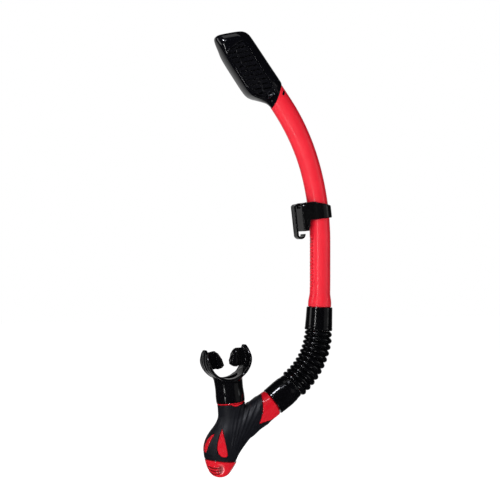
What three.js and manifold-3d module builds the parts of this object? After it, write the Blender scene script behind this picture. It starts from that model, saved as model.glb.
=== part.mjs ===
// Dry-top snorkel tube with a corrugated lower hose, millimetres, +Z up.
// The curve of the tube lies in the XZ plane. The origin is the middle of the
// slot that the mask strap passes through. +X runs from the strap clip to the tube.
import * as THREE from 'three';
import { mergeVertices } from 'three/addons/utils/BufferGeometryUtils.js';
import Module from 'manifold-3d';

const wasm = await Module();
wasm.setup();

// ---------------------------------------------------------------- dimensions
const GAP = 0.3;                 // clearance between pieces that touch
const TUBE_A = 10.9;             // tube section, half width in the curve's plane
const TUBE_B = 11.8;             // tube section, half width across it
const TUBE_WALL = 1.8;
const AXIS_X = 24.6;             // axis of the straight part of the tube
const REF_Z = -40;               // reference height on the straight part
const TOP_R1 = 290;              // the tube's backward curve: lower radius, its length
const TOP_L1 = 75;
const TOP_R2 = 225;              // and upper radius
const TOP_LEAN = 35;             // lean of the dry top, degrees
const HOSE_R = 82.8;             // radius of the hose's bend
const CUFF_TOP = 52.4;           // distances below REF_Z along the axis
const CUFF_END = 78.4;
const BELLOWS_END = 144.3;
const LOWER_CUFF_END = 172.3;
const RIBS = 11;
const RIB_R = 15.0;               // grows by RIB_GROW along the hose
const RIB_GROW = 1.2;
const GROOVE = 2.8;
const HOSE_BORE = 9.6;
const HOOD_WALL = 1.8;
const HOOD_B = 14;               // half thickness of the hood
const GRIP = 1.5;                // thickness of the soft overmould
const SHELL = 2.2;               // wall of the rigid lower body
const PURGE_TILT = 6;            // tilt of the purge axis, degrees
const NECK_TILT = 6.7;           // tilt of the mouthpiece axis, degrees
const MOUTH_TURN = 5;           // turn of the mouthpiece about its stub, degrees
const KEEPER_TRAVEL = 50;

// ------------------------------------------------------------------- helpers
const rad = THREE.MathUtils.degToRad;
const v3 = (x, y, z) => new THREE.Vector3(x, y, z);
const lerp = THREE.MathUtils.lerp;

// piecewise-smooth lookup in a table of [x, y1, y2, ...] rows
function table(rows, x) {
  if (x <= rows[0][0]) return rows[0].slice(1);
  const last = rows[rows.length - 1];
  if (x >= last[0]) return last.slice(1);
  const i = rows.findIndex(r => r[0] > x) - 1;
  const a = rows[Math.max(0, i - 1)], b = rows[i], c = rows[i + 1], d = rows[Math.min(rows.length - 1, i + 2)];
  const t = (x - b[0]) / (c[0] - b[0]), h = c[0] - b[0];
  return b.slice(1).map((_, k) => {
    const j = k + 1;
    const m0 = (c[j] - a[j]) / (c[0] - a[0]), m1 = (d[j] - b[j]) / (d[0] - b[0]);
    return (2 * t ** 3 - 3 * t ** 2 + 1) * b[j] + (t ** 3 - 2 * t ** 2 + t) * h * m0
      + (-2 * t ** 3 + 3 * t ** 2) * c[j] + (t ** 3 - t ** 2) * h * m1;
  });
}

// a closed body from rings of points; ends are closed by fans
function loft(rings) {
  const n = rings[0].length, pos = [], idx = [];
  for (const r of rings) for (const p of r) pos.push(p.x, p.y, p.z);
  for (let i = 0; i + 1 < rings.length; i++) for (let j = 0; j < n; j++) {
    const k = (j + 1) % n, a = i * n + j, b = i * n + k, c = a + n, d = b + n;
    idx.push(a, b, d, a, d, c);
  }
  for (const [i, flip] of [[0, true], [rings.length - 1, false]]) {
    const mid = rings[i].reduce((s, p) => s.add(p), v3(0, 0, 0)).divideScalar(n), m = pos.length / 3;
    pos.push(mid.x, mid.y, mid.z);
    for (let j = 0; j < n; j++) {
      const a = i * n + j, b = i * n + (j + 1) % n;
      flip ? idx.push(b, a, m) : idx.push(a, b, m);
    }
  }
  return closed(pos, idx);
}

// a pipe: outer rings and inner rings joined by annular ends
function pipe(outer, inner) {
  const n = outer[0].length, all = [...outer, ...inner.slice().reverse()], pos = [], idx = [];
  for (const r of all) for (const p of r) pos.push(p.x, p.y, p.z);
  for (let i = 0; i < all.length; i++) for (let j = 0; j < n; j++) {
    const i2 = (i + 1) % all.length, k = (j + 1) % n;
    const a = i * n + j, b = i * n + k, c = i2 * n + j, d = i2 * n + k;
    idx.push(a, b, d, a, d, c);
  }
  return closed(pos, idx);
}

function closed(pos, idx) {
  const g = new THREE.BufferGeometry();
  g.setAttribute('position', new THREE.Float32BufferAttribute(pos, 3));
  g.setIndex(idx);
  if (volume(g) < 0) {
    for (let i = 0; i < idx.length; i += 3) [idx[i], idx[i + 1]] = [idx[i + 1], idx[i]];
    g.setIndex(idx);
  }
  return g;
}

function volume(g) {
  const p = g.attributes.position, ix = g.index.array, a = v3(), b = v3(), c = v3();
  let s = 0;
  for (let i = 0; i < ix.length; i += 3) {
    a.fromBufferAttribute(p, ix[i]); b.fromBufferAttribute(p, ix[i + 1]); c.fromBufferAttribute(p, ix[i + 2]);
    s += a.dot(b.cross(c)) / 6;
  }
  return s;
}

// solid bodies as manifolds
function solid(g) {
  g = g.clone();
  g.deleteAttribute('normal');
  g.deleteAttribute('uv');
  g = mergeVertices(g, 1e-4);
  return new wasm.Manifold(new wasm.Mesh({
    numProp: 3,
    vertProperties: new Float32Array(g.attributes.position.array),
    triVerts: new Uint32Array(g.index.array),
  }));
}

function geometry(m) {
  const mesh = m.getMesh(), pos = [], n = mesh.numProp;
  for (let i = 0; i < mesh.vertProperties.length; i += n) pos.push(...mesh.vertProperties.slice(i, i + 3));
  const g = new THREE.BufferGeometry();
  g.setAttribute('position', new THREE.Float32BufferAttribute(pos, 3));
  g.setIndex([...mesh.triVerts]);
  return g;
}

const unite = (...s) => s.reduce((a, b) => a.add(b));
const cut = (a, ...s) => s.reduce((x, b) => x.subtract(b), a);

// ring of points of a superellipse in the frame (c, u, v)
function ring(c, u, v, a, b, count = 24, power = 2) {
  return Array.from({ length: count }, (_, i) => {
    const t = (i + 0.5) * 2 * Math.PI / count, ct = Math.cos(t), st = Math.sin(t);
    const x = a * Math.sign(ct) * Math.abs(ct) ** (2 / power), y = b * Math.sign(st) * Math.abs(st) ** (2 / power);
    return c.clone().addScaledVector(u, x).addScaledVector(v, y);
  });
}

// frame in the XZ plane: origin and lean; n is across (towards +X), t along (up)
class Frame {
  constructor(x, z, lean) {
    const a = rad(lean);
    this.o = v3(x, 0, z);
    this.n = v3(Math.cos(a), 0, Math.sin(a));
    this.t = v3(-Math.sin(a), 0, Math.cos(a));
    this.lean = lean;
  }
  at(n, y, t) { return this.o.clone().addScaledVector(this.n, n).addScaledVector(this.t, t).add(v3(0, y, 0)); }
}

// prism along Y of a polygon given in a frame's (n, t)
function prism(frame, poly, y0, y1) {
  const shape = new THREE.Shape(poly.map(p => new THREE.Vector2(p[0], p[1])));
  const g = new THREE.ExtrudeGeometry(shape, { depth: y1 - y0, bevelEnabled: false });
  const m = new THREE.Matrix4().makeBasis(frame.n, frame.t, v3(0, -1, 0));
  m.setPosition(frame.at(0, y1, 0));
  g.applyMatrix4(m);
  return solid(g);
}

// box in a frame
function block(frame, n0, n1, y0, y1, t0, t1) {
  return prism(frame, [[n0, t0], [n1, t0], [n1, t1], [n0, t1]], y0, y1);
}

// turned body about a frame's t axis, from a closed profile of [r, t]
function turned(o, axis, profile, count = 24) {
  const g = new THREE.LatheGeometry(profile.map(p => new THREE.Vector2(p[0], p[1])), count);
  g.applyQuaternion(new THREE.Quaternion().setFromUnitVectors(v3(0, 1, 0), axis));
  g.translate(o.x, o.y, o.z);
  const s = solid(g);
  return s.volume() < 0 ? solid(flipped(g)) : s;
}

function flipped(g) {
  g = g.clone();
  const a = [...g.index.array];
  for (let i = 0; i < a.length; i += 3) [a[i], a[i + 1]] = [a[i + 1], a[i]];
  g.setIndex(a);
  return g;
}

// ---------------------------------------------------------------- centreline
const TOP_L2 = TOP_R2 * (rad(TOP_LEAN) - TOP_L1 / TOP_R1);
// frame on the axis at a distance s above (+) or below (-) the reference point
function axisAt(s) {
  let x = AXIS_X, z = REF_Z, a = 0, left = Math.abs(s);
  const up = s >= 0;
  const parts = up
    ? [[15, 0], [TOP_L1, 1 / TOP_R1], [TOP_L2, 1 / TOP_R2], [1e3, 0]]
    : [[20, 0], [58.1, 1 / 885], [65.9, 1 / HOSE_R], [43, 1 / 375], [1e3, 0]];
  const sign = up ? 1 : -1;
  for (const [len, k] of parts) {
    const d = Math.min(left, len);
    if (k === 0) { x -= d * Math.sin(a); z += sign * d * Math.cos(a); }
    else {
      const b = a + d * k;
      x -= (Math.cos(a) - Math.cos(b)) / k;
      z += sign * (Math.sin(b) - Math.sin(a)) / k;
      a = b;
    }
    left -= d;
    if (left <= 0) break;
  }
  return new Frame(x, z, THREE.MathUtils.radToDeg(sign * a));
}
const around = (s, a, b = a, count = 24, power = 2) => {
  const f = axisAt(s);
  return ring(f.o, f.n, v3(0, 1, 0), a, b, count, power);
};

const nodes = [];
function node(name, shape, color, roughness, metalness = 0) {
  const g = shape.getMesh ? geometry(shape) : shape;
  const flat = g.toNonIndexed();
  flat.computeVertexNormals();
  const mesh = new THREE.Mesh(flat, new THREE.MeshStandardMaterial({ color, roughness, metalness }));
  mesh.name = name;
  nodes.push(mesh);
  return mesh;
}
const RED = 0xd8202c, BLACK = 0x0c0d10, SILICONE = 0x08090b, GRIPBLACK = 0x17191f, DARK = 0x1b1c20;

// ------------------------------------------------------------- frames in use
const TOPS = 15 + TOP_L1 + TOP_L2;               // where the tube turns straight again
// the tube's half widths widen a little towards the dry top
const tubeA = s => TUBE_A + 0.6 * THREE.MathUtils.smoothstep(s, 90, 165);
const tubeB = s => TUBE_B + 0.4 * THREE.MathUtils.smoothstep(s, 90, 165);
const topEnd = axisAt(TOPS);
const dir = topEnd.t, across = topEnd.n;
const H = new Frame(0, 0, TOP_LEAN);             // hood frame: (n, t) of the world origin
const TC = topEnd.o.dot(across);                 // n of the tube's axis at the hood
const TT = topEnd.o.dot(dir);                    // t where the straight part begins
// the slanted joint between hood and tube, as a line in (n, t)
const JOINT = n => 112 + (n - 42.7) * 16.5 / 24.6;

// ------------------------------------------------------------------ the tube
{
  const sOut = [-77.9, -53.2, -53.2 + 0.01, -49, -44, -38, -20, 15, 40, 65, 90, 115, 140, 165, TOPS, TOPS + 25];
  const ro = s => s < -53.1 ? [11.4, 11.4] : s < -53 ? [12.4, 12.6] : s < -48 ? [12.3, 12.6] : s < -43 ? [11.5, 12.1] : [tubeA(s), tubeB(s)];
  const outer = sOut.map(s => { const [a, b] = ro(s); return around(s, a, b); });
  outer[1] = around(-53.2, 11.4, 11.4); outer[2] = around(-53.19, 12.4, 12.6);
  const inner = sOut.map(s => s < -48 ? around(s, 9.6, 9.6) : around(s, tubeA(s) - TUBE_WALL, tubeB(s) - TUBE_WALL));
  let tube = solid(pipe(outer, inner));
  // slanted top end
  tube = cut(tube, prism(H, [[20, JOINT(20)], [90, JOINT(90)], [90, 240], [20, 240]], -30, 30));
  // adjustment rack: grooves across the front of the straight part
  const R = new Frame(AXIS_X, 0, 0);
  for (let i = 0; i < 14; i++) {
    const z = -20.5 - i * 3.9;
    tube = cut(tube, prism(R, [[-12, z - 1.1], [-TUBE_A + 0.85, z - 0.5], [-TUBE_A + 0.85, z + 0.5], [-12, z + 1.1]], -5.2, 5.2));
  }
  // snap windows in both flanks
  for (const y of [-1, 1]) {
    const w = [];
    for (let i = 0; i < 12; i++) {
      const a = (i + 0.5) * Math.PI / 6, p = 1.3 * Math.cos(a) + 1.5 * Math.sign(Math.cos(a)), q = 1.3 * Math.sin(a);
      w.push([TC + 6.3 + 0.831 * p - 0.557 * q, 118.8 + 0.557 * p + 0.831 * q]);
    }
    tube = cut(tube, prism(H, w, Math.min(y * 3, y * 14), Math.max(y * 3, y * 14)));
  }
  node('upper_tube', tube, RED, 0.3);
}

// ------------------------------------------------------------------ dry top
// hood outline: t, left edge n, right edge n, half thickness
const HOOD = [
  [100, 43.0, 66.0, 12.2], [112, 43.1, 66.1, 12.2], [116, 42.4, 66.1, 12.3], [119.5, 40.6, 66.1, 12.5], [124, 36.8, 66.1, 12.8],
  [128, 33.4, 66.1, 13.1], [132, 30.5, 66.1, 13.4], [137, 28.2, 66.0, 13.7], [144, 27.3, 65.9, 13.9], [160, 27.4, 65.8, 14.0],
  [176, 27.6, 65.7, 14.0], [186, 28.0, 65.5, 14.0], [193, 28.8, 64.6, 13.8],
];
const hoodRing = (t, inset, extra = 0, count = 24) => {
  const [l, r, b] = table(HOOD, t);
  const c = (l + r) / 2, a = (r - l) / 2 - inset;
  // the section turns from the tube's oval into a rounded slab
  const k = THREE.MathUtils.smoothstep(t, 112, 140);
  return ring(H.at(c, 0, t + extra), H.n, v3(0, 1, 0), a, b - inset, count, lerp(2, 3.6, k));
};
// the crown slopes down towards the back and is rounded off
function hoodBody(inset, t0) {
  const levels = [t0, 112, 116, 120, 124, 128, 132, 137, 144, 165, 186].filter((t, i) => i === 0 || t > t0);
  const rings = levels.map(t => hoodRing(t, inset));
  const low = table(HOOD, 186), c = (low[0] + low[1]) / 2, a0 = (low[1] - low[0]) / 2 - inset, b0 = low[2] - inset;
  for (const q of [0.3, 0.6, 0.82, 0.95, 1]) {
    const w = Math.sqrt(Math.max(0, 1 - q ** 2.4)), s = lerp(0.55, 1, w);
    const top = n => lerp(187, 207.2 - inset - (n - 36) * 0.42, q);
    const pts = ring(v3(0, 0, 0), v3(1, 0, 0), v3(0, 1, 0), a0 * s, b0 * lerp(0.42, 1, w), 24, 3.6);
    rings.push(pts.map(p => H.at(c - 1.2 * q + p.x, p.y, top(c + p.x))));
  }
  return solid(loft(rings));
}
// the air window of each flank, as a polygon in (n, t)
const WINDOW = [[33.6, 137], [35.4, 132], [38.9, 127.6], [42.5, 125.9], [51.8, 125.9], [53.8, 128.0], [53.6, 186], [52, 188], [33.8, 187.9], [31.7, 185.2]];
const inset = (poly, d) => {
  const c = poly.reduce((s, p) => [s[0] + p[0] / poly.length, s[1] + p[1] / poly.length], [0, 0]);
  return poly.map((p, i) => {
    const a = poly[(i + poly.length - 1) % poly.length], b = poly[(i + 1) % poly.length];
    const n1 = [-(p[1] - a[1]), p[0] - a[0]], n2 = [-(b[1] - p[1]), b[0] - p[0]];
    const l1 = Math.hypot(...n1), l2 = Math.hypot(...n2), m = [n1[0] / l1 + n2[0] / l2, n1[1] / l1 + n2[1] / l2];
    const s = 2 / (m[0] ** 2 + m[1] ** 2) * d, sgn = (m[0] * (c[0] - p[0]) + m[1] * (c[1] - p[1])) > 0 ? 1 : -1;
    return [p[0] + sgn * s * m[0], p[1] + sgn * s * m[1]];
  });
};
{
  let hood = hoodBody(0, 100);
  hood = cut(hood, prism(H, [[10, JOINT(10) + GAP * 1.2], [90, JOINT(90) + GAP * 1.2], [90, 40], [10, 40]], -40, 40));
  const spigot = (a, b, t0, t1) => solid(loft([0, 0.25, 0.5, 0.75, 1].map(q => around(TOPS + lerp(t0, t1, q) - TT, a, b))));
  const so = spigot(TUBE_A + 0.4 - TUBE_WALL - GAP, TUBE_B + 0.3 - TUBE_WALL - GAP, 97, 124);
  hood = unite(hood, so);
  let cavity = hoodBody(HOOD_WALL, 127);
  const bore = spigot(TUBE_A - TUBE_WALL - 1.5, TUBE_B - TUBE_WALL - 1.5, 90, 134);
  hood = cut(hood, cavity, bore);
  // windows, with a ledge that the grille sits on
  const ledge = inset(WINDOW, 1.2);
  hood = cut(hood, prism(H, WINDOW, -30, -11.2), prism(H, WINDOW, 11.2, 30), prism(H, ledge, -30, 30));
  node('dry_top_hood', hood, BLACK, 0.12);

  for (const [name, y] of [['louvre_near', -1], ['louvre_far', 1]]) {
    const y0 = y < 0 ? -12.9 : 11.5, y1 = y < 0 ? -11.5 : 12.9;
    let panel = prism(H, inset(WINDOW, GAP), y0, y1);
    // slanted slots in two staggered columns
    for (let i = 0; i < 9; i++) {
      const t = 136 + i * 5.6;
      const slot = (n0, n1, tt) => prism(H, [[n0, tt], [n1, tt - (n1 - n0) * 0.36], [n1, tt - (n1 - n0) * 0.36 + 2.2], [n0, tt + 2.2]], -30, 30);
      const mid = 41.8 + 1.8 * Math.sin((t - 136) / 45 * 2 * Math.PI);
      const lo = Math.max(34.6, 36.4 - (t - 132) * 0.25);
      if (i < 9) panel = cut(panel, slot(lo + 0.6, mid - 0.8, t + 1.4));
      panel = cut(panel, slot(mid + 0.8, 51.2, t));
    }
    node(name, panel, BLACK, 0.25);
  }

  // air duct inside the hood: up from the tube, over, and down to the seat
  const DB = 7.6;
  let duct = prism(H, [[46.4, 134.6], [62.2, 134.6], [62.2, 174], [58, 183.5], [50, 187.5], [40, 187.5], [33.5, 184], [31.2, 178], [31.2, 168], [44, 168], [46.4, 165]], -DB, DB);
  duct = cut(duct, prism(H, [[48, 130], [60.6, 130], [60.6, 173.6], [57, 182.3], [49.6, 185.9], [40.4, 185.9], [34.8, 182.8], [32.8, 177.5], [32.8, 160], [42.4, 160], [42.4, 169.6], [44.8, 169.6], [48, 165.5]], -DB + 1.6, DB - 1.6));
  node('inlet_duct', duct, DARK, 0.5);
  const seatO = H.at(37.6, 0, 167.6);
  node('seat_ring', turned(seatO, dir, [[4.6, -1.6], [6.2, -1.6], [6.2, 0], [4.6, 0], [4.6, -1.6]], 20), SILICONE, 0.45);
  node('float_pad', turned(H.at(37.6, 0, 158.3), dir, [[0, 0], [6.0, 0], [6.0, 1.4], [0, 1.4]], 20), SILICONE, 0.45);
  // float: a rounded block that hangs in the chamber beside the duct
  const fl = [[138, 5.0, 6.2], [139.5, 5.9, 7.2], [155, 5.9, 7.2], [158, 5.6, 6.8]].map(([t, a, b]) => ring(H.at(37.6, 0, t), H.n, v3(0, 1, 0), a, b, 20, 3));
  node('float', loft(fl), 0x3a3c42, 0.6);
}

// ------------------------------------------------------- keeper and strap clip
const KS = 48.1;                 // where on the axis the keeper sits
const K = axisAt(KS);
const SLOT = 4.8, SLOT_FACE = -21.3, PLATE = 2.2, CLIP_HALF = 6.4, BLOCK_HALF = 11.6;
const slide = v3(2, 0, -50).normalize();
{
  // band, cut from an oval collar by two planes
  const collar = solid(loft([-7.8, 12].map(t => ring(K.at(0.3, 0, t), K.n, v3(0, 1, 0), 13.3, 14.2, 36, 2.1))));
  const topCut = prism(K, [[-40, 11.2], [-9, 11.2], [15, 4.6], [40, 0], [40, 60], [-40, 60]], -30, 30);
  let band = cut(collar, topCut);
  const body = prism(K, [[SLOT_FACE, -19], [-15.5, -19], [-12.8, -8], [-4, -7.6], [-4, 11.1], [-19.8, 11.1], [SLOT_FACE, 9.6]], -BLOCK_HALF, BLOCK_HALF);
  band = unite(band, body);
  // arched recess in both sides of the block
  const arch = [[-20.0, -17], [-16.6, -17], [-16.6, -7.5], [-17.0, -6], [-18.3, -5.2], [-19.6, -6], [-20.0, -7.5]];
  band = cut(band, prism(K, arch, -20, -BLOCK_HALF + 1.4), prism(K, arch, BLOCK_HALF - 1.4, 20));
  // bore: the tube's section, swept along the keeper's travel
  for (let i = 0; i <= 5; i++) {
    const q = i / 5 * KEEPER_TRAVEL, rings = [];
    for (const ds of [-34, -22, -12, -4, 4, 12, 22]) {
      const f = axisAt(KS - q + ds), a = TUBE_A + 0.35, b = TUBE_B + 0.35;
      rings.push(ring(f.o.clone().addScaledVector(slide, -q), f.n, v3(0, 1, 0), a, b, 36));
    }
    band = cut(band, solid(loft(rings)));
  }
  // pivot eyes for the clip: a slot in the top left corner of the block
  band = cut(band, prism(K, [[-25, 5.4], [-17.0, 5.4], [-17.0, 13], [-25, 13]], -CLIP_HALF - GAP, CLIP_HALF + GAP));
  const pin = K.at(-18.9, 0, 8.0);
  const drill = r => turned(pin.clone().add(v3(0, -20, 0)), v3(0, 1, 0), [[0, 0], [r, 0], [r, 40], [0, 40]], 16);
  band = cut(band, drill(1.35));
  node('keeper_band', band, BLACK, 0.4);
  node('gate_pin', turned(pin.clone().add(v3(0, -11.5, 0)), v3(0, 1, 0), [[0, 0], [1.05, 0], [1.05, 23], [0, 23]], 16), 0x8a8d92, 0.3, 1);

  // J-shaped clip: eye round the pin, bridge, plate, curl
  const IN = SLOT_FACE - SLOT, OUT = IN - PLATE, cx = -23.5, ct = -22.2, Ro = 4.8, Ri = Ro - PLATE;
  const prof = [];
  const arc = (ox, ot, r, a0, a1, n) => { for (let i = 0; i <= n; i++) { const a = rad(lerp(a0, a1, i / n)); prof.push([ox + r * Math.cos(a), ot + r * Math.sin(a)]); } };
  arc(OUT + 3.4, 10.2 - 3.4 + 0.4, 3.4, 90, 180, 4);      // outer top corner
  arc(cx, ct, Ro, 180, 365, 8);                           // outside of the curl
  arc(cx, ct, Ri, 365, 180, 6);                           // inside of the curl
  arc(IN + 1.2, 8.1 - 1.2 + 0.0, 1.2, 180, 90, 3);        // inner top corner
  prof.push([-20.3, 8.1]);
  arc(-18.9, 8.0, 1.7, 180, 360 + 90, 8);                 // eye
  prof.push([-19.5, 10.6]);
  let clip = prism(K, prof, -CLIP_HALF, CLIP_HALF);
  clip = cut(clip, drill(1.35));
  node('strap_gate', clip, BLACK, 0.35);
}

// ------------------------------------------------------------------ the hose
{
  const cuff = (rows, bore) => pipe(rows.map(([s, r]) => around(-s, r, r)), [rows[0], rows[rows.length - 1]].map(([s]) => around(-s, bore, bore)));
  node('hose_cuff_upper', cuff([[CUFF_TOP + 1.2, 13.4], [CUFF_TOP + 2.2, 13.8], [64, 14.1], [CUFF_END - 1, 14.9], [CUFF_END, 14.5]], 11.4 + GAP), SILICONE, 0.3);
  node('hose_cuff_lower', pipe(
    [[BELLOWS_END + GAP, 13.6], [BELLOWS_END + 1.5, 14.2], [150, 14.8], [158, 15.5], [167, 15.3], [LOWER_CUFF_END - 1, 15.1], [LOWER_CUFF_END, 14.8]].map(([s, r]) => around(-s, r, r)),
    [BELLOWS_END + GAP, 150, 158, LOWER_CUFF_END].map(s => around(-s, 11.4 + GAP, 11.4 + GAP))), SILICONE, 0.3);
  const s0 = CUFF_END + GAP, s1 = BELLOWS_END, pitch = (s1 - s0) / RIBS;
  const rib = s => RIB_R + RIB_GROW * (s - s0) / (s1 - s0), rows = [[s0, rib(s0) - GROOVE + 0.6]];
  for (let i = 0; i < RIBS; i++) {
    const c = s0 + (i + 0.5) * pitch;
    rows.push([c - 1.9, rib(c) - GROOVE], [c - 1.1, rib(c)], [c + 1.1, rib(c)], [c + 1.9, rib(c) - GROOVE]);
  }
  rows.push([s1, rib(s1) - GROOVE + 0.6]);
  const inner = Array.from({ length: 9 }, (_, i) => around(-lerp(s0, s1, i / 8), HOSE_BORE, HOSE_BORE, 18));
  node('hose_bellows', pipe(rows.map(([s, r]) => around(-s, r, r, 18)), inner), SILICONE, 0.25);
}

// --------------------------------------------------------- lower body and grip
// column sections: centre x, z, tilt, radius of the grip's outside
const COLUMN = [
  [-73.5, -192.6, 6.7, 15.0], [-73.0, -200, 5, 14.7], [-72.9, -208, 3, 14.8], [-75.0, -215.2, 1, 15.9], [-78.6, -222.3, -1, 17.7],
  [-81.2, -229.5, -2, 19.3], [-82.9, -236.5, -4, 19.8], [-83.8, -243, -5, 19.1], [-84.3, -248.4, -6, 17.9], [-84.5, -251.6, -6, 17.0],
];
const columnRings = (d, from = 0, to = COLUMN.length - 1, count = 20) => COLUMN.slice(from, to + 1).map(([x, z, a, r]) => {
  const f = new Frame(x, z, a);
  return ring(f.o, f.n, v3(0, 1, 0), r - d, r - d, count);
});
// the branch: distance below the reference and radius of the grip's outside
const BRANCH = [[172.6, 15.0], [178, 15.3], [187, 15.6], [200, 16.0], [216, 16.9], [232, 17.0]];
const branchRings = (d, s0, count = 20) => [[s0, table(BRANCH, s0)[0]], ...BRANCH.filter(b => b[0] > s0 + 1)].map(([s, r]) => around(-s, r - d, r - d, count));
const neck = new Frame(-73.5, -192.6, NECK_TILT);
const purge = new Frame(-84.5, -251.6, -PURGE_TILT);
const down = purge.t.clone().negate();
const lowerOuter = d => unite(solid(loft(columnRings(d))), solid(loft(branchRings(d, 172.6))));
// teardrop windows of the grip, as outlines round the bulb: azimuth offset in mm, z
const TEAR = [[-0.6, -217.8], [-3.4, -224.5], [-5.4, -231.5], [-6.0, -237.5], [-4.6, -242.8], [-1.0, -246.4], [3.2, -246.9], [5.2, -245.6], [4.9, -241.5], [3.6, -235], [1.9, -227.5], [0.3, -220]];
function tear(azimuth, grow) {
  const c = TEAR.reduce((s, p) => [s[0] + p[0] / TEAR.length, s[1] + p[1] / TEAR.length], [0, 0]);
  const a = rad(azimuth), out = v3(Math.sin(a), -Math.cos(a), 0), side = v3(Math.cos(a), Math.sin(a), 0), axis = v3(-83.5, 0, 0);
  const mirror = azimuth < -90 ? -1 : 1;
  const pts = TEAR.map(p => { const l = Math.hypot(p[0] - c[0], p[1] - c[1]); return [mirror * (p[0] + (p[0] - c[0]) / l * grow), p[1] + (p[1] - c[1]) / l * grow]; });
  const rings = [7, 30].map(r => pts.map(([u, z]) => axis.clone().addScaledVector(out, r).addScaledVector(side, u).add(v3(0, 0, z))));
  return solid(loft(rings));
}
const WINDOWS = [-9, -90, -171];
// where the grip leaves the rigid neck of the branch bare, in (x, z)
const W0 = new Frame(0, 0, 0);
const BARE = [[-39.0, -172], [-40.2, -181.5], [-41.9, -187], [-42.1, -191.5], [-43.0, -202.6], [-46.4, -214.2], [-39.0, -212.2], [-31.5, -211.4], [-24, -208.6], [-10, -215], [8, -190], [-22, -160]];
{
  const bare = prism(W0, BARE, -30, 30);
  const bareIn = prism(W0, inset(BARE, GAP), -30, 30);
  // soft grip
  let grip = lowerOuter(0);
  const core = lowerOuter(GRIP);
  grip = cut(grip, core, bare, ...WINDOWS.map(a => tear(a, 0)));
  // clear of the sleeve below and the collar above
  grip = cut(grip, block(purge, -40, 40, -30, 30, -20, GAP * 0), block(neck, -18, 18, -20, 20, -0.1, 20));
  node('overmould_grip', grip, GRIPBLACK, 0.62);

  // rigid body
  const skin = lowerOuter(0.12);
  let body = lowerOuter(GRIP + GAP);
  body = unite(body, skin.intersect(bareIn), ...WINDOWS.map(a => skin.intersect(tear(a, -GAP))));
  body = cut(body, block(purge, -40, 40, -30, 30, -20, 0), block(neck, -18, 18, -20, 20, -0.4, 20));
  // collar and stub for the mouthpiece
  body = unite(body, turned(neck.o, neck.t, [[0, -0.6], [12.9, -0.6], [12.9, 0.2], [14.8, 0.2], [14.8, 1.0], [11.7, 1.0], [11.7, 13.2], [12.0, 14.0], [11.7, 15], [0, 15]], 24));
  // stub for the hose
  body = unite(body, solid(loft([146.5, 160, 173.5].map(s => around(-s, 11.4, 11.4, 20)))));
  // ring that the purge cap snaps on
  body = unite(body, turned(purge.o, down, [[0, -2], [14.4, -2], [14.4, 3.2], [0, 3.2]], 24));
  // passages
  const chamber = solid(loft([...columnRings(GRIP + GAP + SHELL, 3, 8), ...[-0.4, 6].map(h => ring(purge.o.clone().addScaledVector(down, h), purge.n, v3(0, 1, 0), 12.8, 12.8, 20))]));
  const mouthBore = solid(loft([neck.at(0, 0, 20), neck.at(0, 0, 0), v3(-73.5, 0, -207), v3(-76.5, 0, -222)].map(o => ring(o, neck.n, v3(0, 1, 0), 9.6, 9.6, 16))));
  const hoseBore = solid(loft([140, 160, 180, 200, 222].map(s => around(-s, 9.6, 9.6, 24))));
  body = cut(body, chamber, mouthBore, hoseBore);
  node('lower_body', body, RED, 0.28);
}

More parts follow.
